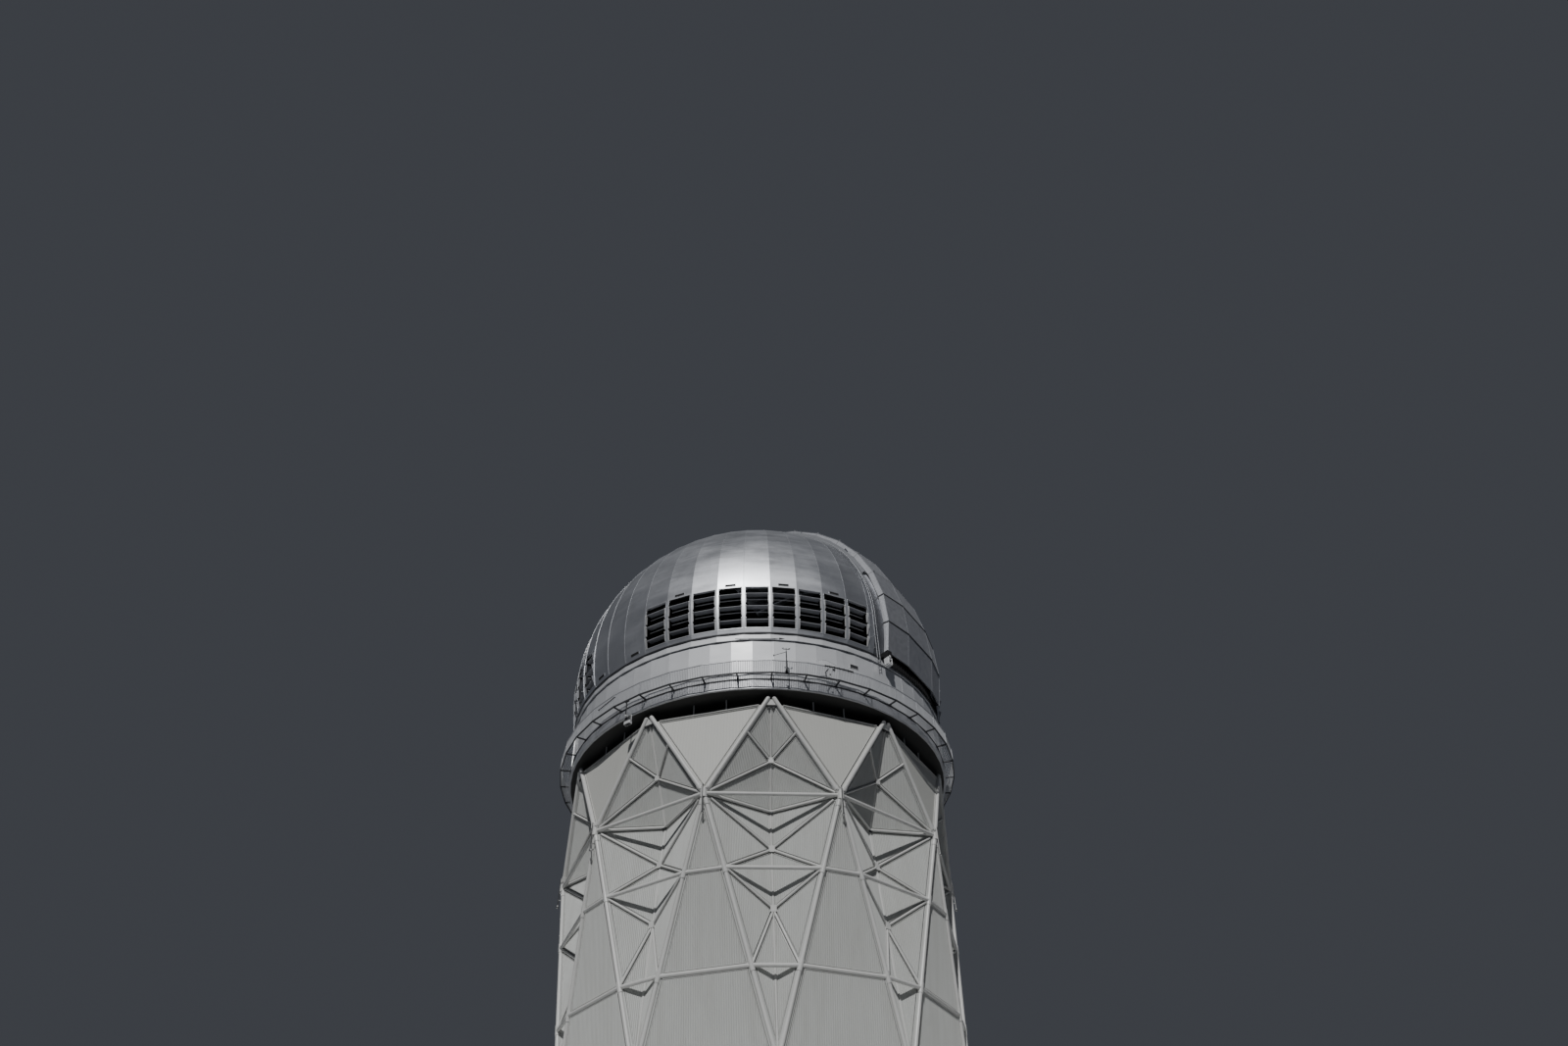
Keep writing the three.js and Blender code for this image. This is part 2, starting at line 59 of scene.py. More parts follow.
def at(azimuth, r, z):
    a = math.radians(azimuth)
    return Vector((r * math.sin(a), -r * math.cos(a), z))


def upBy(z):
    return Vector((0, 0, z))


def goreMiddle(i):
    return dome["turn"] + i * goreTurn


def ringLine(r, z, step=goreTurn):
    return [at(i * step, r, z) for i in range(round(360 / step) + 1)]


def apexAt(k):
    return at(k * bayTurn, *tower["apex"])


def kneeAt(k):
    return at((k + 0.5) * bayTurn, *tower["knee"])


def foldAt(k):
    return at(k * bayTurn, *tower["fold"])


def footAt(k):
    return at(k * bayTurn, *tower["foot"])


def onFold(k, z):
    a, m, b = apexAt(k), foldAt(k), footAt(k)
    if z > m.z:
        return m.lerp(a, (z - m.z) / (a.z - m.z))
    return m.lerp(b, (m.z - z) / (m.z - b.z))


def onLeg(k, side, z):
    n, b = kneeAt(k), footAt(k + 1 if side > 0 else k)
    return n.lerp(b, (n.z - z) / (n.z - b.z))


def outward(a, b, c):
    out = (b - a).cross(c - a).normalized()
    return -out if out.x * a.x + out.y * a.y < 0 else out


# Camera at the photograph's place
view = {"place": (-2.621, -39.054, -6.654), "heading": 6.12, "pitch": 44.84, "roll": -2.28, "lens": 23.43}


def makeCamera():
    data = bpy.data.cameras.new("photoCamera")
    camera = bpy.data.objects.new("photoCamera", data)
    bpy.context.scene.collection.objects.link(camera)
    data.lens = view["lens"]
    data.sensor_width = 36
    data.clip_start, data.clip_end = 0.5, 400
    heading, pitch, roll = (math.radians(view[n]) for n in ("heading", "pitch", "roll"))
    ahead = Vector((math.sin(heading), math.cos(heading), 0))
    side = Vector((math.cos(heading), -math.sin(heading), 0))
    up = upBy(1)
    look = ahead * math.cos(pitch) + up * math.sin(pitch)
    crown = up * math.cos(pitch) - ahead * math.sin(pitch)
    right = side * math.cos(roll) + crown * math.sin(roll)
    top = crown * math.cos(roll) - side * math.sin(roll)
    turn = Matrix((right, top, -look)).transposed()
    camera.matrix_world = Matrix.Translation(view["place"]) @ turn.to_4x4()
    bpy.context.scene.camera = camera


makeCamera()
print("camera set")


# Shader maths: a wire is a node's output that takes part in plain expressions
class Wire:
    def __init__(self, tree, out):
        self.tree, self.out = tree, out

    def maths(self, kind, other=None, swapped=False):
        node = self.tree.nodes.new("ShaderNodeMath")
        node.operation = kind
        for i, value in enumerate([other, self] if swapped else [self, other]):
            if isinstance(value, Wire):
                self.tree.links.new(value.out, node.inputs[i])
            elif value is not None:
                node.inputs[i].default_value = value
        return Wire(self.tree, node.outputs[0])

    def __add__(self, other):
        return self.maths("ADD", other)

    def __radd__(self, other):
        return self.maths("ADD", other, True)

    def __sub__(self, other):
        return self.maths("SUBTRACT", other)

    def __rsub__(self, other):
        return self.maths("SUBTRACT", other, True)

    def __mul__(self, other):
        return self.maths("MULTIPLY", other)

    def __rmul__(self, other):
        return self.maths("MULTIPLY", other, True)

    def __truediv__(self, other):
        return self.maths("DIVIDE", other)

    def __rtruediv__(self, other):
        return self.maths("DIVIDE", other, True)

    def __gt__(self, other):
        return self.maths("GREATER_THAN", other)

    def __lt__(self, other):
        return self.maths("LESS_THAN", other)


class Finish:
    def __init__(self, name, **shader):
        self.material = bpy.data.materials.new(name)
        self.material.use_nodes = True
        self.tree = self.material.node_tree
        self.shader = self.tree.nodes["Principled BSDF"]
        for socket, value in shader.items():
            self.shader.inputs[socket.replace("_", " ")].default_value = value
        place = self.tree.nodes.new("ShaderNodeTexCoord")
        self.place = Wire(self.tree, place.outputs["Object"])
        self.x, self.y, self.z = self.split(self.place)

    def node(self, kind, settings=(), values=(), out=0):
        made = self.tree.nodes.new(kind)
        for name, value in dict(settings).items():
            setattr(made, name, value)
        for name, value in dict(values).items():
            if isinstance(value, Wire):
                self.tree.links.new(value.out, made.inputs[name])
            else:
                made.inputs[name].default_value = value
        return Wire(self.tree, made.outputs[out])

    def split(self, wire):
        made = self.tree.nodes.new("ShaderNodeSeparateXYZ")
        self.tree.links.new(wire.out, made.inputs[0])
        return [Wire(self.tree, made.outputs[i]) for i in range(3)]

    def noise(self, scale, stretch=(1, 1, 1), detail=3, rough=0.55):
        moved = self.node("ShaderNodeMapping", values={"Vector": self.place, "Scale": stretch})
        return self.node("ShaderNodeTexNoise", values={
            "Vector": moved, "Scale": scale, "Detail": detail, "Roughness": rough})

    def cellValue(self, wire):
        return self.node("ShaderNodeTexWhiteNoise", {"noise_dimensions": "1D"}, {"W": wire})

    def ramp(self, wire, low, high, toLow=0.0, toHigh=1.0):
        return self.node("ShaderNodeMapRange", values={
            0: wire, 1: low, 2: high, 3: toLow, 4: toHigh})

    def mix(self, share, a, b):
        first, second = (c if isinstance(c, Wire) else (*c, 1) for c in (a, b))
        return self.node("ShaderNodeMix", {"data_type": "RGBA"}, {0: share, 6: first, 7: second}, 2)

    def feed(self, socket, wire):
        self.tree.links.new(wire.out, self.shader.inputs[socket])

    def bump(self, height, strength, distance):
        self.feed("Normal", self.node("ShaderNodeBump", values={
            "Height": height, "Strength": strength, "Distance": distance}))


def azimuthOf(paint):
    return paint.x.maths("ARCTAN2", paint.y * -1) * (180 / math.pi)


def paintFinish(name, colour, rough, streak=0.12, grain=6, dirt=(0.33, 0.32, 0.29), metallic=0.0):
    paint = Finish(name, Metallic=metallic)
    cloud = paint.noise(0.5, detail=4)
    runs = paint.noise(1.6, (2.2, 2.2, 0.18), 4, 0.6)
    fine = paint.noise(grain, detail=2)
    dirtMask = paint.ramp(runs * 0.65 + cloud * 0.35, 0.42, 0.78) * streak * 2.2
    lighter = tuple(min(1, c * 1.05) for c in colour)
    darker = tuple(c * 0.9 for c in colour)
    base = paint.mix(cloud, darker, lighter)
    paint.feed("Base Color", paint.mix(dirtMask, base, dirt))
    paint.feed("Roughness", paint.ramp(fine * 0.5 + runs * 0.5, 0.3, 0.7, rough - 0.08, rough + 0.1))
    paint.bump(fine, 0.12, 0.004)
    return paint.material


def sheetFinish(name, colour, rough, panelTurn, panelStart, spread, metallic, coat, gloss, shadeBesideSlit=0.0):
    paint = Finish(name, Metallic=metallic, Coat_Roughness=gloss)
    panel = ((azimuthOf(paint) - panelStart) / panelTurn + 0.5).maths("FLOOR")
    tone = paint.cellValue(panel)
    cloud = paint.noise(0.42, (1, 1, 1.6), 5, 0.62)
    wipes = paint.noise(1.1, (0.6, 0.6, 3.0), 4, 0.6)
    runs = paint.noise(2.0, (2.0, 2.0, 0.16), 3)
    grey = tone * spread + cloud * 0.22 + wipes * 0.14
    low = tuple(c * 0.74 for c in colour)
    base = paint.mix(paint.ramp(grey, 0.1, spread + 0.36), low, colour)
    if shadeBesideSlit:  # painted shade: the strips beside the slit are painted darker
        t = math.radians(slitTurn)
        across = paint.x * math.cos(t) + paint.y * math.sin(t)
        ahead = paint.x * math.sin(t) - paint.y * math.cos(t)
        beside = (across.maths("ABSOLUTE") < shadeBesideSlit) * (ahead > 0.5)
        base = paint.mix(beside * 0.75, base, (0.16, 0.165, 0.18))
    stain = paint.ramp(runs, 0.58, 0.8) * 0.25
    paint.feed("Base Color", paint.mix(stain, base, (0.36, 0.36, 0.37)))
    paint.feed("Roughness", paint.ramp(cloud * 0.6 + wipes * 0.4, 0.3, 0.7, rough - 0.07, rough + 0.12))
    paint.feed("Coat Weight", paint.ramp(wipes, 0.3, 0.7, coat * 0.5, coat))
    paint.bump(cloud * 0.7 + wipes * 0.3, 0.10, 0.02)
    return paint.material


def flatFinish(name, colour, rough, pitch, r=7.7):
    paint = Finish(name)
    cloud = paint.noise(0.4, detail=4)
    runs = paint.noise(1.4, (2.4, 2.4, 0.14), 4, 0.6)
    along = azimuthOf(paint) * (r * math.pi / 180 / pitch)
    line = along.maths("FRACT")
    groove = (line < 0.16) * 1.0
    darker = tuple(c * 0.9 for c in colour)
    base = paint.mix(cloud * 0.6 + runs * 0.4, darker, colour)
    # painted shade: each groove is painted darker, as the shade inside it
    grooveShaded = paint.mix(groove * 0.16, base, tuple(c * 0.62 for c in colour))
    stain = paint.ramp(runs, 0.55, 0.8) * 0.22
    paint.feed("Base Color", paint.mix(stain, grooveShaded, (0.42, 0.41, 0.37)))
    paint.feed("Roughness", paint.ramp(cloud, 0.3, 0.7, rough - 0.06, rough + 0.08))
    paint.bump(groove * -1.0, 0.35, 0.01)
    return paint.material


finishes = {
    "corrugated_cladding": paintFinish("claddingPaint", (0.56, 0.57, 0.55), 0.5, 0.16),
    "flat_cladding": flatFinish("panelPaint", (0.64, 0.64, 0.60), 0.5, 0.12),
    "base_paint": paintFinish("basePaint", (0.62, 0.62, 0.58), 0.62, 0.22),
    "tube_paint": paintFinish("tubePaint", (0.70, 0.70, 0.68), 0.34, 0.10),
    "frame_edge": paintFinish("frameEdgePaint", (0.64, 0.64, 0.62), 0.45, 0.12),
    # painted shade: near-black for the inner drum and the rim soffit, which lie in shade
    "dark_paint": paintFinish("paintedShadeDark", (0.045, 0.045, 0.043), 0.7, 0.1, 6, (0.09, 0.085, 0.08)),
    "rail_steel": paintFinish("railSteel", (0.42, 0.42, 0.43), 0.38, 0.25, 9, (0.16, 0.1, 0.07), 0.8),
    "rim_sheet": sheetFinish("silverBand", (0.74, 0.75, 0.78), 0.48, facetTurn, rimWall["panelStart"],
                             0.06, 0.35, 0.3, 0.22),
    "railing_paint": paintFinish("railingPaint", (0.50, 0.51, 0.53), 0.45, 0.2, 10, (0.3, 0.3, 0.31), 0.2),
    "dark_steel": paintFinish("darkSteel", (0.035, 0.037, 0.042), 0.55, 0.15, 9, (0.08, 0.075, 0.07), 0.2),
    "grating": paintFinish("gratingZinc", (0.80, 0.81, 0.82), 0.5, 0.10, 12, (0.5, 0.5, 0.5), 0.15),
    # the dome sheet carries painted shade on the strips beside the slit
    "silver_sheet": sheetFinish("silverGores", (0.73, 0.745, 0.78), 0.37, goreTurn, dome["turn"],
                                0.42, 0.88, 0.15, 0.22, 2.86),
    "wall_sheet": sheetFinish("silverWall", (0.82, 0.83, 0.85), 0.55, facetTurn, rimWall["panelStart"],
                              0.03, 0.30, 1.0, 0.20),
    "louver_blade": paintFinish("louverPaint", (0.44, 0.45, 0.48), 0.45, 0.2, 8, (0.3, 0.3, 0.32)),
    "shutter_sheet": paintFinish("shutterSheet", (0.60, 0.61, 0.64), 0.58, 0.2, 5, (0.34, 0.34, 0.36), 0.95),
    "shutter_edge": paintFinish("edgeGrey", (0.30, 0.31, 0.33), 0.6, 0.2, 8, (0.2, 0.2, 0.21), 0.2),
    "ladder_metal": paintFinish("ladderZinc", (0.44, 0.45, 0.47), 0.45, 0.15, 12, (0.3, 0.3, 0.3), 0.4),
    "fitting_paint": paintFinish("fittingPaint", (0.74, 0.745, 0.75), 0.42, 0.2, 10),
    # painted shade: near-black for the unlit insides, holes and gaps
    "shade_black": paintFinish("paintedShadeBlack", (0.006, 0.006, 0.007), 0.85, 0.05, 6, (0.012, 0.012, 0.012)),
    "seam": paintFinish("seamMetal", (0.54, 0.55, 0.57), 0.45, 0.1, 12, (0.34, 0.34, 0.36), 0.6),
}
print("finishes made:", len(finishes))

looks = {
    "corrugated_cladding": ("recess_facets", "pier_panels"), "flat_cladding": ("flat_panels",),
    # the inner drum and the rim soffit get the painted shade finish
    "base_paint": ("base_wall",), "dark_paint": ("inner_drum", "rim_soffit"), "tube_paint": ("gap_posts",),
    "rail_steel": ("dome_rail",), "dark_steel": ("dome_ring", "walkway_beams"), "rim_sheet": ("rim_band",),
    "railing_paint": ("walkway_railing",), "wall_sheet": ("rim_wall", "wall_cap"),
    "shutter_edge": ("slit_arch_right", "slit_arch_left"), "shutter_sheet": ("shutter",),
}


def dress(obj, finish):
    obj.data.materials.clear()
    obj.data.materials.append(finishes[finish])


for finish, nodes in looks.items():
    for name in nodes:
        dress(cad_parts[name], finish)
print("carried-over nodes dressed:", sum(len(nodes) for nodes in looks.values()))


# Mesh building
class Shape:
    def __init__(self):
        self.points, self.faces = [], []

    def add(self, points, faces):
        first = len(self.points)
        self.points += [tuple(p) for p in points]
        self.faces += [tuple(first + i for i in face) for face in faces]

    def loft(self, rows, caps=True):
        n, last = len(rows[0]), (len(rows) - 1) * len(rows[0])
        faces = [(i * n + j, i * n + (j + 1) % n, (i + 1) * n + (j + 1) % n, (i + 1) * n + j)
                 for i in range(len(rows) - 1) for j in range(n)]
        if caps:
            faces += [tuple(reversed(range(n))), tuple(range(last, last + n))]
        self.add([p for row in rows for p in row], faces)

    def tube(self, a, b, r, sides=14, ends=None):
        along = (b - a).normalized()
        flat = along.orthogonal().normalized()
        other = along.cross(flat)
        rows = []
        for p, scale in ((a, 1), (b, ends or 1)):
            rows.append([p + (flat * math.cos(t) + other * math.sin(t)) * r * scale
                         for t in (2 * math.pi * i / sides for i in range(sides))])
        self.loft(rows)

    def block(self, azimuth, r, z, width, depth, height, chamfer=0.0):
        turn = Matrix.Rotation(math.radians(azimuth), 4, "Z")
        w, d, h, c = width / 2, depth / 2, height / 2, chamfer
        outline = [(-w + c, -d), (w - c, -d), (w, -d + c), (w, d - c),
                   (w - c, d), (-w + c, d), (-w, d - c), (-w, -d + c)]
        if not c:
            outline = [(-w, -d), (w, -d), (w, d), (-w, d)]
        self.loft([[turn @ Vector((x, -r + y, z + k)) for x, y in outline] for k in (-h, h)])

    def plate(self, corners, out, thick, stand=0.0):
        self.loft([[p + out * k for p in corners] for k in (stand, stand + thick)])

    def made(self, name, smooth=False):
        mesh = bpy.data.meshes.new(name)
        mesh.from_pydata(self.points, [], self.faces)
        work = bmesh.new()
        work.from_mesh(mesh)
        bmesh.ops.recalc_face_normals(work, faces=work.faces)
        work.to_mesh(mesh)
        work.free()
        obj = bpy.data.objects.new(name, mesh)
        bpy.context.scene.collection.objects.link(obj)
        if smooth:
            mesh.shade_smooth()
            mesh.set_sharp_from_angle(angle=math.radians(40))
        return obj


def weld(obj):
    work = bmesh.new()
    work.from_mesh(obj.data)
    bmesh.ops.remove_doubles(work, verts=work.verts, dist=1e-5)
    bmesh.ops.recalc_face_normals(work, faces=work.faces)
    work.to_mesh(obj.data)
    work.free()


def settle(obj, body, finish, replaced=()):
    dress(obj, finish)
    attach(obj, body)
    if replaced:
        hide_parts(*replaced)
    return obj


# Geometry Nodes: what grows on the spots is turned, made real and painted
def growTree(name, inputs, nodes, links):
    tree = bpy.data.node_groups.new(name, "GeometryNodeTree")
    for label, kind, value in inputs:
        socket = tree.interface.new_socket(label, in_out="INPUT", socket_type="NodeSocket" + kind)
        if value is not None:
            socket.default_value = value
    tree.interface.new_socket("Grown", in_out="OUTPUT", socket_type="NodeSocketGeometry")
    kinds = {
        "start": "NodeGroupInput", "end": "NodeGroupOutput", "place": "GeometryNodeInstanceOnPoints",
        "spin": "ShaderNodeCombineXYZ", "real": "GeometryNodeRealizeInstances",
        "paint": "GeometryNodeSetMaterial", **nodes,
    }
    made = {label: tree.nodes.new(kind) for label, kind in kinds.items()}
    for a, out, b, into in links + (
        ("spots", 0, "place", "Points"), ("spin", 0, "place", "Rotation"), ("place", 0, "real", 0),
        ("real", 0, "paint", "Geometry"), ("start", "Finish", "paint", "Material"),
        ("paint", 0, "end", 0),
    ):
        tree.links.new(made[a].outputs[out], made[b].inputs[into])
    return tree, made


def barTree():
    # round bars along the edges of a line mesh, repeated round the axis
    tree, made = growTree("barsAlongLines", (
        ("Lines", "Geometry", None), ("Radius", "Float", 0.02), ("Sides", "Int", 6), ("Copies", "Int", 1),
        ("Turn", "Float", 0.0), ("Finish", "Material", None), ("Smooth", "Bool", False),
    ), {
        "curve": "GeometryNodeMeshToCurve", "ring": "GeometryNodeCurvePrimitiveCircle",
        "sweep": "GeometryNodeCurveToMesh", "shade": "GeometryNodeSetShadeSmooth",
        "spots": "GeometryNodePoints", "index": "GeometryNodeInputIndex", "times": "ShaderNodeMath",
    }, (
        ("start", "Lines", "curve", 0), ("curve", 0, "sweep", "Curve"), ("ring", 0, "sweep", "Profile Curve"),
        ("start", "Sides", "ring", "Resolution"), ("start", "Radius", "ring", "Radius"),
        ("sweep", 0, "shade", "Geometry"), ("start", "Smooth", "shade", "Shade Smooth"),
        ("shade", 0, "place", "Instance"), ("start", "Copies", "spots", "Count"),
        ("index", 0, "times", 0), ("start", "Turn", "times", 1), ("times", 0, "spin", "Z"),
    ))
    made["sweep"].inputs["Fill Caps"].default_value = True
    made["times"].operation = "MULTIPLY"
    return tree


def clipTree():
    # a small box on each point, turned to face outwards
    tree, made = growTree("clipsOnPoints", (
        ("Spots", "Geometry", None), ("Size", "Vector", (0.05, 0.05, 0.05)), ("Finish", "Material", None),
    ), {
        "cube": "GeometryNodeMeshCube", "spots": "GeometryNodeMeshToPoints", "flip": "ShaderNodeMath",
        "where": "GeometryNodeInputPosition", "apart": "ShaderNodeSeparateXYZ", "angle": "ShaderNodeMath",
    }, (
        ("start", "Spots", "spots", 0), ("start", "Size", "cube", "Size"),
        ("cube", "Mesh", "place", "Instance"), ("where", 0, "apart", 0), ("apart", "X", "angle", 0),
        ("apart", "Y", "flip", 0), ("flip", 0, "angle", 1), ("angle", 0, "spin", "Z"),
    ))
    made["flip"].operation, made["angle"].operation = "MULTIPLY", "ARCTAN2"
    made["flip"].inputs[1].default_value = -1
    return tree


trees = {"bars": barTree(), "clips": clipTree()}


def grown(name, kind, points, edges, **inputs):
    mesh = bpy.data.meshes.new(name + "Lines")
    mesh.from_pydata([tuple(p) for p in points], edges, [])
    obj = bpy.data.objects.new(name + "Lines", mesh)
    bpy.context.scene.collection.objects.link(obj)
    modifier = obj.modifiers.new("grow", "NODES")
    modifier.node_group = trees[kind]
    for socket in trees[kind].interface.items_tree:
        if socket.in_out == "INPUT" and socket.name in inputs:
            modifier[socket.identifier] = inputs[socket.name]
    ready = obj.evaluated_get(bpy.context.evaluated_depsgraph_get())
    result = bpy.data.meshes.new_from_object(ready)
    result.name = name
    obj.modifiers.remove(modifier)
    bpy.data.objects.remove(obj)
    bpy.data.meshes.remove(mesh)
    made = bpy.data.objects.new(name, result)
    bpy.context.scene.collection.objects.link(made)
    return made


def bars(name, lines, radius, sides, body, finish, recordSlot=None,
         copies=1, turn=0.0, smooth=False, replaced=()):
    points, edges = [], []
    for line in lines:
        first = len(points)
        points += line
        edges += [(first + i, first + i + 1) for i in range(len(line) - 1)]
    made = grown(name, "bars", points, edges, Radius=radius, Sides=sides, Copies=copies,
                 Turn=math.radians(turn), Finish=finishes[finish], Smooth=smooth)
    if smooth:
        made.data.set_sharp_from_angle(angle=math.radians(40))
    return settle(made, body, finish, replaced)


def clips(name, spots, size, body, finish):
    made = grown(name, "clips", spots, [], Size=size, Finish=finishes[finish])
    return settle(made, body, finish)


# Cladding: each facet is parted by the struts into framed fields with upright ribs inside
cladding = {
    "pitch": 0.062, "radius": 0.017, "pierPitch": 0.075, "lip": 0.014, "lift": 0.012, "gap": 0.030,
    "gapWide": 0.009, "bayTop": 15.217, "fromTube": 0.165, "fromStrut": 0.085, "fromFold": 0.055,
    "fromCrease": 0.10, "fromTop": 0.10, "fromLeg": 0.09, "fromFoot": 0.15, "shortest": 0.12,
    "gapLift": 0.002, "flange": 0.024, "flangeIn": 0.045, "flangeProud": 0.02,
}
lowerTie = {"z": 5.9, "hubZ": 7.9}
midShare = 0.39


def insetLoop(corners, insets, out, lift=0.0):
    centre, lines, points = sum(corners, Vector()) / len(corners), [], []
    for i, a in enumerate(corners):
        along = (corners[(i + 1) % len(corners)] - a).normalized()
        inward = out.cross(along)
        if inward.dot(centre - a) < 0:
            inward.negate()
        lines.append((a + inward * insets[i], along))
    for i in range(len(corners)):
        (p, u), (q, v) = lines[i - 1], lines[i]
        side = out.cross(v)
        points.append(p + u * ((q - p).dot(side) / u.dot(side)) + out * lift)
    return points


def ribLines(corners, out, pitch, margin=0.012):
    down = (upBy(-1) + out * out.z).normalized()
    across = down.cross(out).normalized()
    origin = sum(corners, Vector()) / len(corners)
    flat = [((p - origin).dot(across), (p - origin).dot(down)) for p in corners]
    low, high = min(p[0] for p in flat), max(p[0] for p in flat)
    lines = []
    for i in range(int((high - low) / pitch)):
        u = low + (i + 0.5) * pitch
        hits = []
        for (u0, v0), (u1, v1) in zip(flat, flat[1:] + flat[:1]):
            if (u0 - u) * (u1 - u) < 0:
                hits.append(v0 + (v1 - v0) * (u - u0) / (u1 - u0))
        if len(hits) == 2 and max(hits) - min(hits) > cladding["shortest"]:
            ends = min(hits) + margin, max(hits) - margin
            lines.append([origin + across * u + down * v for v in ends])
    return lines


a0, a1, m0, b0, b1 = apexAt(0), apexAt(1), foldAt(0), footAt(0), footAt(1)
nRight, nLeft = kneeAt(0), kneeAt(-1)
hub, tie, lowHub = onFold(0, tower["hubZ"]), onFold(0, tower["tieZ"]), onFold(0, lowerTie["hubZ"])
around = {"copies": tower["bays"], "turn": bayTurn}


def halfBay(side):
    # knee, middle of its upper tube, the two facets' outward ways and the tie points on its leg
    knee = nRight if side > 0 else nLeft
    leg, lowLeg = (onLeg(0, -1, z) if side > 0 else onLeg(-1, 1, z) for z in (tower["legZ"], lowerTie["z"]))
    return knee, a0.lerp(knee, midShare), outward(a0, m0, knee), outward(knee, m0, b0), leg, lowLeg


def claddingFields():
    c = cladding
    tube, strut, fold, crease = c["fromTube"], c["fromStrut"], c["fromFold"], c["fromCrease"]
    fields = []
    for side in (1, -1):
        knee, mid, upper, lower, leg, lowLeg = halfBay(side)
        fields += [((a0, hub, mid), (fold, strut, tube), upper),
                   ((mid, hub, knee), (strut, strut, tube), upper),
                   ((hub, m0, knee), (fold, crease, strut), upper),
                   ((m0, tie, knee), (fold, strut, crease), lower),
                   ((knee, tie, leg), (strut, strut, tube), lower),
                   ((tie, lowHub, leg), (fold, strut, strut), lower),
                   ((leg, lowHub, lowLeg), (strut, strut, tube), lower),
                   ((lowHub, b0, lowLeg), (fold, tube, strut), lower)]
    share = (tower["apex"][1] - c["bayTop"]) / (tower["apex"][1] - tower["knee"][1])
    flats = [((a0.lerp(nRight, share), nRight, a1.lerp(nRight, share)), (tube, tube, c["fromTop"]),
              outward(a0, nRight, a1))]
    pierOut, legGap = outward(nRight, b0, b1), c["fromLeg"]
    upLeft, upRight, lowLeft, lowRight = (onLeg(0, side, z) for z in (tower["legZ"], lowerTie["z"])
                                          for side in (-1, 1))
    piers = [((nRight, upLeft, upRight), (tube, legGap, tube), pierOut),
             ((upLeft, lowLeft, lowRight, upRight), (tube, legGap, tube, legGap), pierOut),
             ((lowLeft, b0, b1, lowRight), (tube, c["fromFoot"], tube, legGap), pierOut)]
    ribs, pierRibs, lips, gapShades = [], [], [], []
    groups = (fields, ribs, c["pitch"]), (piers, pierRibs, c["pierPitch"]), (flats, None, 0)
    for group, lines, pitch in groups:
        for corners, insets, out in group:
            loop = insetLoop(corners, insets, out)
            if lines is not None:
                lines += ribLines(loop, out, pitch)
            lifted = [p + out * c["lift"] for p in loop]
            lips.append(lifted + lifted[:1])
            # painted shade: a dark line inset round each field stands for the shade in the gap
            gap = insetLoop(corners, [i - c["gap"] for i in insets], out, c["gapLift"])
            gapShades.append(gap + gap[:1])
    # the flat panels' top flange throws a fine shadow line
    (p, knee, q), insets, out = flats[0]
    top = [a.lerp(b, c["flangeIn"]) + out * c["flangeProud"] for a, b in ((p, q), (q, p))]
    return ribs, pierRibs, lips, gapShades, [top]


recessRibs, pierRibs, fieldLips, fieldGapShades, panelTops = claddingFields()
for name, lines, size, sides, finish, recordSlot in (
    ("recessRibs", recessRibs, "radius", 4, "corrugated_cladding", None),
    ("pierRibs", pierRibs, "radius", 4, "corrugated_cladding", None),
    ("fieldLips", fieldLips, "lip", 4, "frame_edge", "tube_paint"),
    # the gap lines are dark bars of painted shade
    ("fieldGapShades", fieldGapShades, "gapWide", 4, "dark_steel", "corrugated_cladding"),
    ("panelTops", panelTops, "flange", 6, "frame_edge", "tube_paint"),
):
    bars(name, lines, cladding[size], sides, "tower", finish, recordSlot, **around)
print("cladding ribs:", len(recessRibs) + len(pierRibs), "to a bay")

# Tubes of the folded frame
tubes = {"main": 0.085, "leg": 0.072, "tie": 0.068, "strut": 0.042, "crease": 0.052, "fold": 0.034,
         "stand": 0.036, "creaseStand": 0.065, "foldStand": 0.03, "topShare": 0.042}


def lifted(a, b, out, stand, trimA, trimB):
    along = (b - a).normalized()
    return [a + along * trimA + out * stand, b - along * trimB + out * stand]


mainLines = [[a0.lerp(knee, tubes["topShare"]), knee] for knee in (nRight, nLeft)]
legLines = [[nRight, b0], [nLeft, b0]]
tieLines = [[nLeft, nRight]]
for z in (tower["legZ"], lowerTie["z"]):
    tieLines += [[onLeg(-1, 1, z), onLeg(0, -1, z)], [onLeg(0, -1, z), onLeg(0, 1, z)]]
strutLines, creaseLines = [], []
for side in (1, -1):
    knee, mid, upper, lower, leg, lowLeg = halfBay(side)
    for start, end, out, trim in ((hub, knee, upper, 0.2), (hub, mid, upper, 0.05),
                                  (tie, knee, lower, 0.3), (tie, leg, lower, 0.05),
                                  (lowHub, leg, lower, 0.05), (lowHub, lowLeg, lower, 0.05)):
        strutLines.append(lifted(start, end, out, tubes["stand"], 0.05, trim))
    creaseLines.append(lifted(m0, knee, (upper + lower).normalized(), tubes["creaseStand"], 0.02, 0.2))
foldOut = Vector((0, -tubes["foldStand"], 0))
foldLines = [[m0 + foldOut, end.lerp(m0, share) + foldOut] for end, share in ((a0, 0.1), (b0, 0.03))]
for name, lines, size, sides in (
    ("mainTubes", mainLines, "main", 18), ("legTubes", legLines, "leg", 18),
    ("tieTubes", tieLines, "tie", 14), ("strutTubes", strutLines, "strut", 10),
    ("creaseTubes", creaseLines, "crease", 12), ("foldPipes", foldLines, "fold", 8),
):
    bars(name, lines, tubes[size], sides, "tower", "tube_paint", smooth=True,
         replaced=["tube_frame"] if size == "main" else (), **around)
print("frame tubes made")

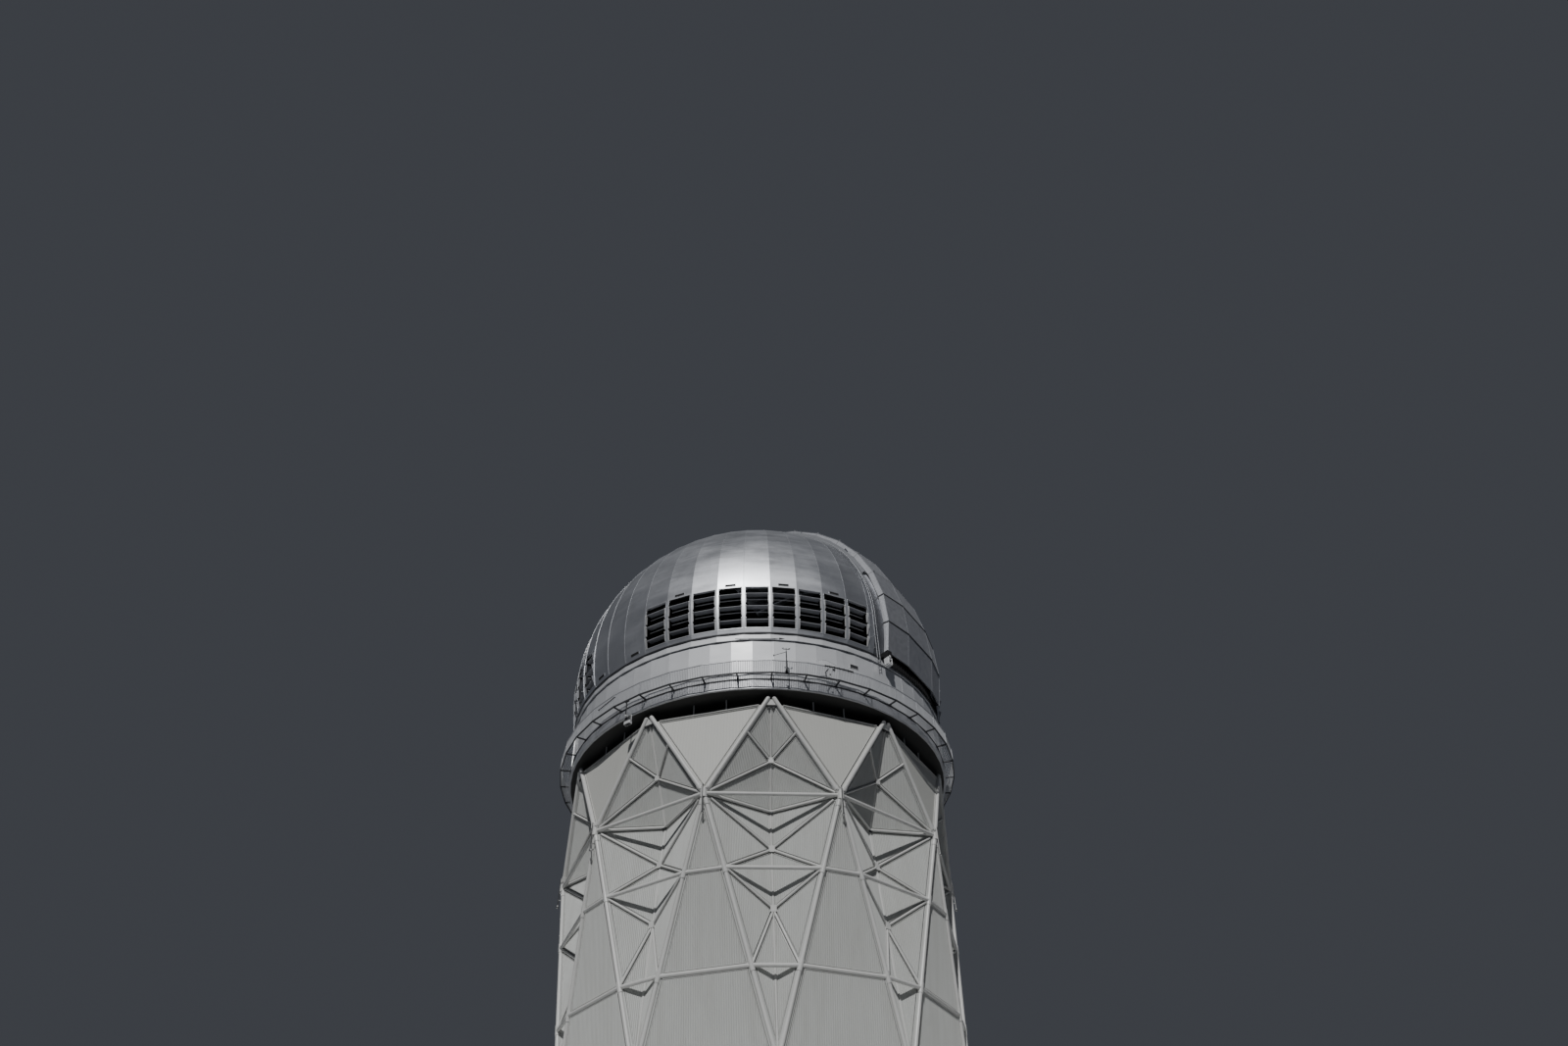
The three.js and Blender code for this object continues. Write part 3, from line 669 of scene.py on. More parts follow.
# Joints of the frame: shoes, collars, cap plates and gussets where tubes meet
joint = {
    "kneeR": 0.125, "kneeDown": 0.17, "kneeUp": 0.15, "kneeProud": 0.05,
    "kneeCap": (0.30, 0.10, 0.05, 0.01), "kneeCapUp": 0.17,
    "lug": (0.03, 0.10, 0.12, 0.005), "lugUp": 0.24, "lugTurn": 1.0,
    "footR": 0.14, "footHalf": 0.12, "strap": 0.05, "capPlate": (0.058, 0.115),
    "capBarAt": 0.124, "capBarR": 0.026, "toothIn": 0.09, "toothZ": 15.18,
    "shadowTooth": ((0.02, 0), (0.17, 0), (0.075, -0.12)), "proud": 0.08, "thick": 0.04,
    "gusset": ((-0.16, 0.02), (0.16, 0.02), (0.06, -0.09), (-0.06, -0.09)),
    "hubPlate": ((-0.1, 0.11), (0.1, 0.11), (0.1, -0.11), (-0.1, -0.11)),
    "sleeveHalf": 0.175, "sleeve": 0.016, "collar": (0.42, 0.20), "collarR": 0.018,
    "clamp": (0.05, 0.085), "clampR": 0.02,
}


def spreadOut(p, across, corners):
    return [p + across * x + upBy(z) for x, z in corners]


def frameJoints():
    shape, dark, j = Shape(), Shape(), joint
    kneeR, kneeZ = tower["knee"]
    for k in range(tower["bays"]):
        a, n, b, before = apexAt(k), kneeAt(k), footAt(k), kneeAt(k - 1)
        turn, half = k * bayTurn, (k + 0.5) * bayTurn
        front, across = at(turn, 1, 0), at(turn + 90, 1, 0)
        shape.tube(n - upBy(j["kneeDown"]), n + upBy(j["kneeUp"]), j["kneeR"], 16)
        shape.block(half, kneeR + j["kneeProud"], kneeZ + j["kneeCapUp"], *j["kneeCap"])
        for side in (-1, 1):
            shape.block(half + side * j["lugTurn"], kneeR + j["kneeProud"], kneeZ + j["lugUp"], *j["lug"])
        # rounded ends of the two tubes, held by dark straps to the wall behind
        for end in (n, before):
            along = (a - end).normalized()
            top = a.lerp(end, tubes["topShare"])
            shape.tube(top - along * 0.01, top + along * 0.035, tubes["main"] * 0.995, 18, 0.62)
            dark.tube(top - along * 0.12, top + along * 0.10 - at(turn, 0.10, 0), j["strap"], 8)
        shape.tube(b - upBy(j["footHalf"]), b + upBy(j["footHalf"]), j["footR"], 14)
        # bright cap plate between the two tubes under the apex
        high, low = j["capPlate"]
        corners = [a.lerp(before, high), a.lerp(n, high), a.lerp(n, low), a.lerp(before, low)]
        shape.plate(corners, front, 0.02, -0.01)
        shape.plate(corners, front, 0.012, -0.06)
        # painted shadow: the rod under the cap plate is painted dark for the shadow line beneath the plate
        left, right = (a.lerp(end, j["capBarAt"]) - front * 0.03 for end in (before, n))
        dark.tube(left, right, j["capBarR"], 8)
        # painted shadow: dark tapered plates beside the fold stand for the V-shaped shadow of the cap plate
        for side in (-1, 1):
            shadowTooth = at(turn, tower["apex"][0] - j["toothIn"], j["toothZ"])
            dark.plate(spreadOut(shadowTooth, at(turn + side * 90, 1, 0), j["shadowTooth"]), front, 0.02)
        # dark bolted gusset at the fold below the tie tube, pale plates at the hubs
        proud = front * j["proud"]
        dark.plate(spreadOut(foldAt(k) + proud, across, j["gusset"]), front, j["thick"])
        for z in (tower["hubZ"], tower["tieZ"], lowerTie["hubZ"]):
            shape.plate(spreadOut(onFold(k, z) + proud, across, j["hubPlate"]), front, j["thick"])
        for side in (-1, 1):
            for z in (tower["legZ"], lowerTie["z"]):
                p, q = (onLeg(k, side, z + up) for up in (j["sleeveHalf"], -j["sleeveHalf"]))
                shape.tube(p, q, tubes["leg"] + j["sleeve"], 16)
            p, q = (onLeg(k, side, kneeZ - down) for down in j["collar"])
            shape.tube(p, q, tubes["leg"] + j["collarR"], 16)
            p, q = (n.lerp(apexAt(k if side < 0 else k + 1), share) for share in j["clamp"])
            shape.tube(p, q, tubes["main"] + j["clampR"], 16)
    settle(shape.made("frameJoints", True), "tower", "tube_paint")
    settle(dark.made("frameGussets"), "tower", "dark_steel")


frameJoints()
print("frame joints made")

# Dome shell: flat across each gore, curved from foot to crown, with its openings cut through
# w runs across the slit and s along it, from the dome's axis
def slitPoint(w, s, z):
    t = math.radians(slitTurn)
    return Vector((w * math.cos(t) + s * math.sin(t), w * math.sin(t) - s * math.cos(t), z))


louverBanks = {
    "louver_bank_front": (-4, 9), "louver_bank_side": (11, 9),
    "louver_bank_back_left": (-14, 7), "louver_bank_back_right": (23, 7),
}
slotVents = [(turn, 20.669) for turn in (-22.5, -7.5, 7.5, 22.5)] + [(-37.5, 18.594), (-52.5, 18.594)]
slotVent = {"cutWide": 0.40, "cutTall": 0.08, "half": 0.208, "outer": 0.222, "high": 0.055, "rimHigh": 0.063}
shellCut = {"deep": 0.9, "inside": 0.06, "slitDeep": 10.4, "slitTop": 29.5, "lining": 0.07,
            "flatBeside": 0.75}
louverWide = 2 * dome["r"] * math.sin(math.radians(goreTurn / 2)) * dome["louverFill"]


def domeProfile(r, low):
    start = math.asin((low - dome["z"]) / r)
    return [(r * math.cos(t), dome["z"] + r * math.sin(t))
            for t in (start + (math.pi / 2 - start) * i / dome["rows"] for i in range(dome["rows"]))]


def insideSlit(p, grow):
    t = math.radians(slitTurn)
    w = p.x * math.cos(t) + p.y * math.sin(t)
    s = p.x * math.sin(t) - p.y * math.cos(t)
    return abs(w) < dome["slitHalf"] + grow and s > dome["slitBack"] - grow and p.z > dome["slitLow"] - grow


def domeSkin():
    shape = Shape()
    outer = domeProfile(dome["r"], dome["low"])
    inner = domeProfile(dome["r"] - dome["wall"], dome["low"])
    n, start = dome["gores"], dome["turn"] + goreTurn / 2
    count = len(outer)
    points = [at(start + i * goreTurn, r, z) for i in range(n) for r, z in outer]
    points += [at(start + i * goreTurn, r, z) for i in range(n) for r, z in inner]
    half = n * count
    points += [upBy(dome["z"] + dome["r"]), upBy(dome["z"] + dome["r"] - dome["wall"])]
    faces = []
    for i in range(n):
        a, b = i * count, (i + 1) % n * count
        for j in range(count - 1):
            faces.append((a + j, b + j, b + j + 1, a + j + 1))
            faces.append((half + a + j, half + a + j + 1, half + b + j + 1, half + b + j))
        faces.append((a + count - 1, b + count - 1, len(points) - 2))
        faces.append((half + b + count - 1, half + a + count - 1, len(points) - 1))
        faces.append((a, half + a, half + b, b))
    shape.add(points, faces)
    shell = shape.made("domeSkin")
    holes = Shape()
    tall, r = dome["louverHigh"] - dome["louverLow"], dome["r"] - shellCut["inside"]
    for first, gores in louverBanks.values():
        for i in range(gores):
            holes.block(goreMiddle(first + i), r, dome["louverLow"] + tall / 2,
                        louverWide, shellCut["deep"], tall)
    for turn, z in slotVents:
        holes.block(dome["turn"] + turn, r, z, slotVent["cutWide"], shellCut["deep"], slotVent["cutTall"])
    deep, low, high = shellCut["slitDeep"], dome["slitLow"], shellCut["slitTop"]
    holes.block(slitTurn, dome["slitBack"] + deep / 2, (low + high) / 2,
                2 * dome["slitHalf"], deep, high - low)
    tool = holes.made("domeHoles")
    cut = shell.modifiers.new("cut", "BOOLEAN")
    cut.operation, cut.solver, cut.object = "DIFFERENCE", "EXACT", tool
    cut.use_self = True
    ready = shell.evaluated_get(bpy.context.evaluated_depsgraph_get())
    mesh = bpy.data.meshes.new_from_object(ready)
    shell.modifiers.remove(cut)
    shell.data = mesh
    bpy.data.objects.remove(tool)
    mesh.shade_smooth()
    mesh.set_sharp_from_angle(angle=math.radians(4.5))
    centre, depth = upBy(dome["z"]), dome["r"] - shellCut["lining"]
    lining = [p.index for p in mesh.polygons
              if (p.center - centre).length < depth and p.normal.dot(p.center - centre) < 0]
    # the narrow strips beside the slit stay flat
    for p in mesh.polygons:
        if insideSlit(p.center, shellCut["flatBeside"]):
            p.use_smooth = False
    # keep the gore edges crisp where they flatten towards the crown
    work = bmesh.new()
    work.from_mesh(mesh)
    for edge in work.edges:
        p, q = edge.verts[0].co, edge.verts[1].co
        if min(math.hypot(p.x, p.y), math.hypot(q.x, q.y)) < 0.5:
            continue
        turns = [((math.degrees(math.atan2(v.x, -v.y)) - start) / goreTurn) for v in (p, q)]
        if abs(turns[0] - turns[1]) < 1e-3 and abs(turns[0] - round(turns[0])) < 1e-3:
            edge.smooth = False
    work.to_mesh(mesh)
    work.free()
    settle(shell, "dome", "silver_sheet", replaced=["dome_shell"])
    shell.data.materials.append(finishes["shade_black"])  # painted shade: the lining inside is painted near-black
    for i in lining:
        shell.data.polygons[i].material_index = 1


domeSkin()
print("dome shell made")

# Raised seams between the gores; every second one ends earlier below the crown
seams = {"r": 0.0065, "proud": 0.002, "foot": 0.12, "besideSlit": 0.24, "crown": 0.25, "ends": (0.7, 1.2)}


def goreSeams():
    lines = []
    profile = domeProfile(dome["r"] + seams["proud"], dome["low"] + seams["foot"])
    profile.append((seams["crown"], dome["z"] + dome["r"] - 0.004))
    for i in range(dome["gores"]):
        run = []
        for r, z in profile:
            p = at(goreMiddle(i + 0.5), r, z)
            if insideSlit(p, seams["besideSlit"]) or r < seams["ends"][i % 2]:
                if len(run) > 1:
                    lines.append(run)
                run = []
            else:
                run.append(p)
        if len(run) > 1:
            lines.append(run)
    bars("goreSeams", lines, seams["r"], 6, "dome", "seam", "silver_sheet")


goreSeams()
print("gore seams made")

# Louvers: three open blades, thin rails behind them, tapered brackets on the jambs
louver = {
    "blades": (20.215, 19.585, 18.955), "rails": (20.10, 19.47), "depth": 0.30, "thick": 0.036,
    "tip": 0.05, "tail": 0.008, "inside": 0.03, "side": 0.012, "rail": 0.019,
    "trim": 0.012, "trimHalf": 0.01, "trimDeep": 0.02, "proud": 0.006, "trimOver": 0.03,
    "brackets": ((20.12, 19.72), (19.55, 19.15), (18.98, 18.60)), "bracketReach": (0.09, 0.025),
    "bracketThick": 0.022, "bracketGap": 0.004, "bolt": (0.05, 0.05, 0.05, 0.012),
}


def shellR(z):
    return math.sqrt(dome["r"] ** 2 - (z - dome["z"]) ** 2) * math.cos(math.radians(goreTurn / 2))


def louverBank(node, first, count):
    blades, rails, trims, brackets = Shape(), Shape(), Shape(), Shape()
    low, high, half = dome["louverLow"], dome["louverHigh"], louverWide / 2
    nose, ends = louver["thick"] / 2, (-half + louver["side"], half - louver["side"])
    for i in range(count):
        turn = goreMiddle(first + i)
        spin = Matrix.Rotation(math.radians(turn), 4, "Z")

        def put(x, r, z):
            return spin @ Vector((x, -r, z))

        for z in louver["blades"]:  # rounded nose, thin tail, tipped slightly down inside
            front, tail = shellR(z) - louver["inside"], z + louver["tip"]
            outline = []
            for t in range(7):
                a = math.pi * (t / 6 - 0.5)
                outline.append((front - nose + math.cos(a) * nose, z + math.sin(a) * nose))
            outline += [(front - louver["depth"], tail + k) for k in (louver["tail"], -louver["tail"])]
            blades.loft([[put(x, r, h) for r, h in outline] for x in ends])
        for z in louver["rails"]:
            a, b = (put(x, shellR(z) - louver["depth"], z) for x in ends)
            rails.tube(a, b, louver["rail"], 8)
        for side in (-1, 1):
            last = (i == 0 and side < 0) or (i == count - 1 and side > 0)
            reach, jamb = louver["bracketReach"][0 if last else 1], half - louver["bracketGap"]
            x0, x1 = side * jamb, side * (jamb - louver["bracketThick"])
            for z0, z1 in louver["brackets"]:  # wide at the head, running out at the foot
                r0, r1 = shellR(z0), shellR(z1)
                outline = [(r0 - 0.05, z0), (r0 + reach, z0), (r0 + reach, z0 - 0.05),
                           (r1 + 0.012, z1), (r1 - 0.05, z1)]
                brackets.loft([[put(x, r, z) for r, z in outline] for x in (x0, x1)])
                boltTurn = turn + math.degrees((x0 + x1) / 2 / r0)
                brackets.block(boltTurn, r0 + 0.03, z0 + 0.012, *louver["bolt"])
            x, over, wide, rows = side * (half + louver["trim"]), louver["trimOver"], louver["trimHalf"], []
            for step in range(9):
                z = low - over + (high - low + 2 * over) * step / 8
                back, edge = shellR(z) - louver["trimDeep"], shellR(z) + louver["proud"]
                rows.append([put(x - wide, back, z), put(x + wide, back, z),
                             put(x + wide, edge, z), put(x - wide, edge, z)])
            trims.loft(rows)
        for z, side in ((low, -1), (high, 1)):
            r, z0, z1 = shellR(z), z + side * 0.006, z + side * 0.036
            back, edge, wide = r - louver["trimDeep"], r + louver["proud"], half + 0.022
            trims.loft([[put(x, back, z0), put(x, back, z1), put(x, edge, z1), put(x, edge, z0)]
                        for x in (-wide, wide)])
            for corner in (-1, 1):  # small fillet plates in the corners
                x = corner * (half - 0.002)
                trims.loft([[put(x, k, z - side * 0.002), put(x - corner * 0.05, k, z - side * 0.002),
                             put(x, k, z - side * 0.055)] for k in (r - 0.05, r - 0.035)])
    name, litFrontBank = node.replace("louver_bank_", "louvers_"), node == "louver_bank_front"
    settle(blades.made(name, True), "dome", "louver_blade", replaced=[node])
    settle(rails.made(name + "_rails", True), "dome", "fitting_paint")
    # painted light and shade: the front bank's brackets are painted pale as lit and the other banks' dark
    # grey as shaded; the trims also switch finish
    settle(trims.made(name + "_trim"), "dome", "seam" if litFrontBank else "silver_sheet")
    settle(brackets.made(name + "_brackets"), "dome", "fitting_paint" if litFrontBank else "shutter_edge")


for node, (first, count) in louverBanks.items():
    louverBank(node, first, count)


def ventHoods():
    rims, voids = Shape(), Shape()
    w, o, h, e = (slotVent[n] for n in ("half", "outer", "high", "rimHigh"))
    for turn, z in slotVents:
        spin = Matrix.Rotation(math.radians(dome["turn"] + turn), 4, "Z")

        def slab(shape, x0, x1, z0, z1, deep, proud):
            section = (x0, -deep), (x1, -deep), (x1, proud), (x0, proud)
            shape.loft([[spin @ Vector((x, -shellR(v) - k, v)) for x, k in section] for v in (z0, z1)])

        # painted shade: a near-black slab inside each slot stands for the shade in the opening
        slab(voids, -w, w, z - h, z + h, 0.05, 0.010)
        for x0, x1, low, high in ((-o, o, h, e), (-o, o, -e, -h), (-o, -w, -h, h), (w, o, -h, h)):
            slab(rims, x0, x1, z + low, z + high, 0.02, 0.009)
    settle(rims.made("slotVentRims"), "dome", "seam")
    settle(voids.made("slotVentInsides"), "dome", "shade_black")


ventHoods()
print("louvers and vents made")

# Shutter trims: joint strips over each bend, seals along the feet, rails at the top
shutter = {
    "s": -0.211, "z": 20.449, "half": 2.310, "flat": 1.067, "sideR": 8.316, "topR": 8.585,
    "footR": 8.014, "start": -12.7, "step": 10.6, "steps": 11, "darkBends": (1, 2),
    "joint": (0.17, 0.02), "strip": (0.06, 0.006), "cornerBead": 0.012, "ridgeBead": 0.006,
    "sealUp": 0.03, "seal": 0.026, "lug": (0.07, 0.06, 0.05), "lugAt": 0.985, "lugUp": 0.03,
}
shutterEnd = shutter["start"] + shutter["steps"] * shutter["step"]


def onShutter(w, r, angle):
    # a point over the straight chord of its segment, so trims lie on the flat sheets
    i = min(max((angle - shutter["start"]) / shutter["step"], 0), shutter["steps"])
    low = min(int(i), shutter["steps"] - 1)
    share = i - low
    ends = []
    for j in (low, low + 1):
        a = math.radians(shutter["start"] + j * shutter["step"])
        ends.append(Vector((w, shutter["s"] + r * math.cos(a), shutter["z"] + r * math.sin(a))))
    p = ends[0].lerp(ends[1], share)
    return slitPoint(p.x, p.y, p.z)


def shutterSection(grow):
    h, f, low = shutter["half"], shutter["flat"], shutter["footR"] + 0.01
    return [(-h - grow, low), (-h - grow, shutter["sideR"] + grow * 0.6), (-f, shutter["topR"] + grow),
            (f, shutter["topR"] + grow), (h + grow, shutter["sideR"] + grow * 0.6), (h + grow, low)]


def shutterTrims():
    strips, dark, spots = Shape(), Shape(), []
    start, step, steps = (shutter[n] for n in ("start", "step", "steps"))
    bends = [start + i * step for i in range(steps + 1)]
    for i, angle in enumerate(bends):
        shape = dark if i in shutter["darkBends"] else strips
        wide, thick = shutter["joint" if i in shutter["darkBends"] else "strip"]
        lows, highs = shutterSection(0.002), shutterSection(thick)
        ends = max(angle - wide, start), min(angle + wide, shutterEnd)
        for section in zip(lows, lows[1:], highs[1:], highs):
            shape.loft([[onShutter(w, r, a) for w, r in section] for a in ends])
        if 2 < i < steps:
            w, r = shutter["half"] * shutter["lugAt"], shutter["sideR"] + shutter["lugUp"]
            spots += [onShutter(side * w, r, angle) for side in (-1, 1)]
    for side in (-1, 1):
        h = side * (shutter["half"] + 0.001)
        for shape, w, r, size in ((strips, h, shutter["sideR"], shutter["cornerBead"]),
                                  (strips, side * shutter["flat"], shutter["topR"], shutter["ridgeBead"]),
                                  (dark, h, shutter["footR"] + shutter["sealUp"], shutter["seal"])):
            for a, b in zip(bends, bends[1:]):
                shape.tube(onShutter(w, r, a), onShutter(w, r, a + step), size, 8)
    settle(strips.made("shutterEdges", True), "shutter", "shutter_edge")
    settle(dark.made("shutterJoints"), "shutter", "dark_steel")
    clips("shutterLugs", spots, shutter["lug"], "shutter", "shutter_edge")


shutterTrims()
print("shutter trims made")

# Walkway: see-through grating outside the rim wall, pickets along its edge
walkway = {
    "floorIn": 6.858, "floorOut": 7.95, "floorLow": 16.1755, "floorHigh": 16.1995, "floorStep": 3,
    "barPitch": 0.052, "barR": 0.003, "barZ": 16.188, "rods": 6, "rodIn": 0.04, "rodPitch": 0.07,
    "rodR": 0.0025, "rodZ": 16.182, "edge": 0.012, "kerb": 0.012, "kerbZ": 16.190,
    "picket": 0.0105, "pitch": 0.0655, "picketTop": 0.03,
}


def walkwayPieces():
    w, floor = walkway, Shape()
    section = [(w["floorIn"], w["floorLow"]), (w["floorOut"], w["floorLow"]),
               (w["floorOut"], w["floorHigh"]), (w["floorIn"], w["floorHigh"])]
    rows = [[at(turn, r, z) for r, z in section] for turn in range(0, 360, w["floorStep"])]
    floor.loft(rows + rows[:1], caps=False)
    inner = floor.made("walkwayInnerFloor")
    weld(inner)
    settle(inner, "tower", "grating")
    # bars from the wall to the straight edges of the panels
    n = int(2 * math.pi * walk["outer"] / w["barPitch"])
    edge, half, lines = walk["outer"] - w["edge"], walkTurn / 2, []
    for i in range(n):
        turn = 360 * i / n
        off = (turn + half) % walkTurn - half
        reach = edge * math.cos(math.radians(half)) / math.cos(math.radians(half - abs(off)))
        lines.append([at(turn, walk["inner"] + 0.003, w["barZ"]), at(turn, reach, w["barZ"])])
    bars("walkwayGrating", lines, w["barR"], 4, "tower", "grating", replaced=["walkway_deck"])
    rods = [ringLine(walk["inner"] + w["rodIn"] + w["rodPitch"] * i, w["rodZ"], walkTurn)
            for i in range(w["rods"])]
    bars("walkwayRods", rods, w["rodR"], 4, "tower", "grating")
    bars("walkwayKerb", [ringLine(edge, w["kerbZ"], walkTurn)], w["kerb"], 4, "tower", "dark_steel")
    pickets, corners = [], ringLine(walk["railR"], 0, walkTurn)
    count = int(2 * math.pi * walk["railR"] / walk["panels"] / w["pitch"])
    for a, b in zip(corners, corners[1:]):
        for i in range(1, count):
            p = a.lerp(b, i / count)
            pickets.append([p + upBy(z) for z in (walk["z"], walk["railTop"] - w["picketTop"])])
    bars("railingPickets", pickets, w["picket"], 4, "tower", "railing_paint")


walkwayPieces()
print("walkway grating and pickets made")


# Lap strips at the bends of the rim wall, drip edge of its cap, a painted shadow line under the cap, dark
# seal under the dome
wallTrim = {
    "lap": 0.0035, "lapFoot": 0.001, "lapHead": 0.017, "capEdgeIn": 0.006, "capEdgeZ": 17.990,
    "capEdge": 0.011, "shadowLineR": 7.992, "shadowLineZ": 17.955, "seal": 0.016,
    "footSeal": ((8.024, 18.302), (8.040, 18.296), (8.046, 18.345), (8.030, 18.36)),
}


def wallTrims():
    w, laps, seal = wallTrim, [], Shape()
    for i in range(rimWall["facets"]):
        turn = rimWall["turn"] + i * facetTurn
        laps.append([at(turn, rimWall["r"] + w["lapFoot"], walk["z"] + 0.01),
                     at(turn, rimWall["r"] + w["lapHead"], rimWall["high"] - 0.01)])
    bars("rimWallLaps", laps, w["lap"], 5, "tower", "railing_paint", "silver_sheet")
    edge = ringLine(rimWall["capR"] - w["capEdgeIn"], w["capEdgeZ"])
    bars("wallCapEdges", [edge], w["capEdge"], 6, "tower", "wall_sheet", "silver_sheet")
    # painted shadow: a dark bar just under the cap stands for the cap's shadow line
    shadow = ringLine(w["shadowLineR"], w["shadowLineZ"])
    bars("wallCapShadowLine", [shadow], w["seal"], 6, "tower", "shutter_edge", "silver_sheet")
    seal.loft([[at(i * 3, r, z) for r, z in w["footSeal"]] for i in range(121)], caps=False)
    made = seal.made("domeFootSeal")
    weld(made)
    settle(made, "dome", "dark_steel")


wallTrims()
print("rim wall trims made")

# Weather apron on the dome's foot in the gap under the shutter, painted near-black as the shade in that gap
apron = {
    "from": 36.8, "to": 68.6, "steps": 32, "r": 8.056, "inner": 8.02, "thick": 0.018, "low": 18.10,
    "high": 18.50, "rib": 1.1, "ribWide": 0.03, "ribDeep": 0.026, "ribUp": 0.02, "ribShort": 0.08,
}


def slitApron():
    shape = Shape()
    start, end, steps, r, low, high = (apron[n] for n in ("from", "to", "steps", "r", "low", "high"))
    q, under = r + apron["thick"], high - apron["thick"]
    section = [(r, low), (q, low), (q, high), (apron["inner"], high), (apron["inner"], under), (r, under)]
    shape.loft([[at(start + (end - start) * i / steps, k, z) for k, z in section]
                for i in range(steps + 1)])
    turn = start + 0.5
    while turn < end:
        shape.block(turn, q + 0.012, (low + high) / 2 + apron["ribUp"], apron["ribWide"],
                    apron["ribDeep"], high - low - apron["ribShort"])
        turn += apron["rib"]
    # painted shade: the apron is painted near-black
    settle(shape.made("slitApron"), "dome", "shade_black")


slitApron()
print("apron made")

# Ladder beside the shutter: rails, close rungs and brackets down to the shell
ladder = {
    "w": (-3.07, -2.85), "r": 7.756, "foot": 17.944, "end": 35, "rail": 0.012, "rung": 0.008,
    "pitch": 0.155, "firstRung": 0.08, "brackets": (22.20, 21.51, 20.69, 20.19, 19.58, 19.03, 18.47),
    "bracket": 0.009, "reach": 0.12, "guideW": -2.78, "guide": 0.010, "guideUp": 0.05, "guideRun": (36, 58),
}


def onDome(w, r, angle):
    a = math.radians(angle)
    return slitPoint(w, r * math.cos(a), dome["z"] + r * math.sin(a))


def onLadder(w, run, lift=0.0):
    # run is the length from the dome's widest ring, negative on the upright part below it
    r = ladder["r"] + lift
    if run < 0:
        return slitPoint(w, r, dome["z"] + run)
    return onDome(w, r, math.degrees(run / ladder["r"]))


def ladderPieces():
    low, high = ladder["foot"] - dome["z"], ladder["r"] * math.radians(ladder["end"])
    near, far = ladder["w"]
    runs = [low, low / 2] + [high * i / 24 for i in range(25)]
    rails = [[onLadder(w, run) for run in runs] for w in ladder["w"]]
    bars("ladderRails", rails, ladder["rail"], 8, "dome", "ladder_metal",
         smooth=True, replaced=["dome_ladder"])
    count = int((high - low - 0.1) / ladder["pitch"])
    rungs = [[onLadder(w, low + ladder["firstRung"] + ladder["pitch"] * i) for w in ladder["w"]]
             for i in range(count)]
    bars("ladderRungs", rungs, ladder["rung"], 6, "dome", "ladder_metal", smooth=True)
    brackets = []
    for z in ladder["brackets"]:
        up = z - dome["z"]
        run = up if up < 0 else ladder["r"] * math.asin(up / ladder["r"])
        for w, reach in ((near, -ladder["reach"]), (far, 0.02)):
            rail = onLadder(w, run)
            turn = math.atan2(rail.x, -rail.y) - (0.012 if reach < 0 else -0.002)
            skin = math.sqrt(dome["r"] ** 2 - up ** 2) - 0.015
            brackets.append([rail, at(math.degrees(turn), skin, z + 0.005)])
            if reach < 0:  # stub that stands out to the side
                brackets.append([rail, onLadder(w + reach, run - 0.03, -0.02)])
    bars("ladderBrackets", brackets, ladder["bracket"], 6, "dome", "ladder_metal", smooth=True)
    # thin guide rail from the ladder's head up to the crown, close beside the shutter
    (start, end), w = ladder["guideRun"], ladder["guideW"]
    r = math.sqrt(dome["r"] ** 2 - w ** 2)
    rail, posts = [], []
    for i in range(12):
        angle = start + (end - start) * i / 11
        rail.append(onDome(w, r + ladder["guideUp"], angle))
        if i % 2 == 0:
            posts.append([onDome(w, r - 0.01, angle), rail[-1]])
    bars("crownGuideRail", [rail] + posts, ladder["guide"], 6, "dome", "ladder_metal", smooth=True)


ladderPieces()
print("ladder made")

# Drive housing under the shutter's near corner: white boxed frame, its inside, head pieces and hood painted
# near-black as painted shade, motor end showing
# each box has its left, right, foot and head, then how far its back and front are set in, then its chamfer
drive = {
    "turn": 35.4, "low": 17.82, "inner": 8.165, "outer": 8.42, "hub": (0.35, 0.055, 0.15, 0.03),
    "pale": {
        "left cheek": (-0.11, -0.05, 0.05, 0.36, 0, 0, 0.008),
        "right cheek": (0.08, 0.11, 0.05, 0.34, 0, 0, 0.008),
        "foot": (-0.095, 0.09, 0.0, 0.06, 0, 0, 0.008),
        "shelf": (-0.05, 0.08, 0.255, 0.290, 0, 0, 0.008),
        "motor end": (-0.02, 0.06, 0.36, 0.46, 0.05, 0, 0.008),
    },
    "dark": {
        "inside": (-0.10, 0.10, 0.03, 0.53, 0.01, 0.05, 0),
        "head left": (-0.11, -0.03, 0.375, 0.51, 0, 0.01, 0.008),
        "head right": (0.065, 0.11, 0.36, 0.51, 0, 0.02, 0.008),
        "hood": (-0.11, 0.14, 0.495, 0.685, -0.15, 0.005, 0.015),
    },
}


def drivePieces():
    turn, low, inner, outer = (drive[n] for n in ("turn", "low", "inner", "outer"))
    forms = {"pale": Shape(), "dark": Shape()}
    for key, form in forms.items():
        for x0, x1, z0, z1, back, front, chamfer in drive[key].values():
            r0, r1 = inner + back, outer - front
            r = (r0 + r1) / 2
            form.block(turn + math.degrees((x0 + x1) / 2 / r), r, low + (z0 + z1) / 2,
                       x1 - x0, r1 - r0, z1 - z0, chamfer)
    aside, setIn, up, size = drive["hub"]
    hub = at(turn + aside, outer - setIn, low + up)
    forms["pale"].tube(hub, hub + at(turn, size, 0), size, 14)
    settle(forms["pale"].made("driveHousing", True), "dome", "fitting_paint", replaced=["drive_box"])
    # painted shade: the dark pieces are painted near-black
    settle(forms["dark"].made("driveInsides"), "dome", "shade_black")


drivePieces()
print("drive housing made")

# Fittings on the walkway and the rim wall; rods and bars are given as start, end and radius
mast = {
    "turn": 3.7, "r": 8.49, "foot": (8.42, 16.2325, 0.09, 0.18, 0.062, 0.012),
    "pole": (16.25, 17.10, 0.022, 12), "tip": (17.08, 17.24, 0.011, 10),
    "brace": ((0.9, 8.38), (16.42, 16.24), 0.009), "cross": (0.85, 17.19, 0.014),
    "arm": ((-3.2, 8.47), (17.06, 16.88), 0.010), "armEnd": 0.03,
    "cupUp": 0.03, "cupOut": 0.028, "cup": 0.013,
}


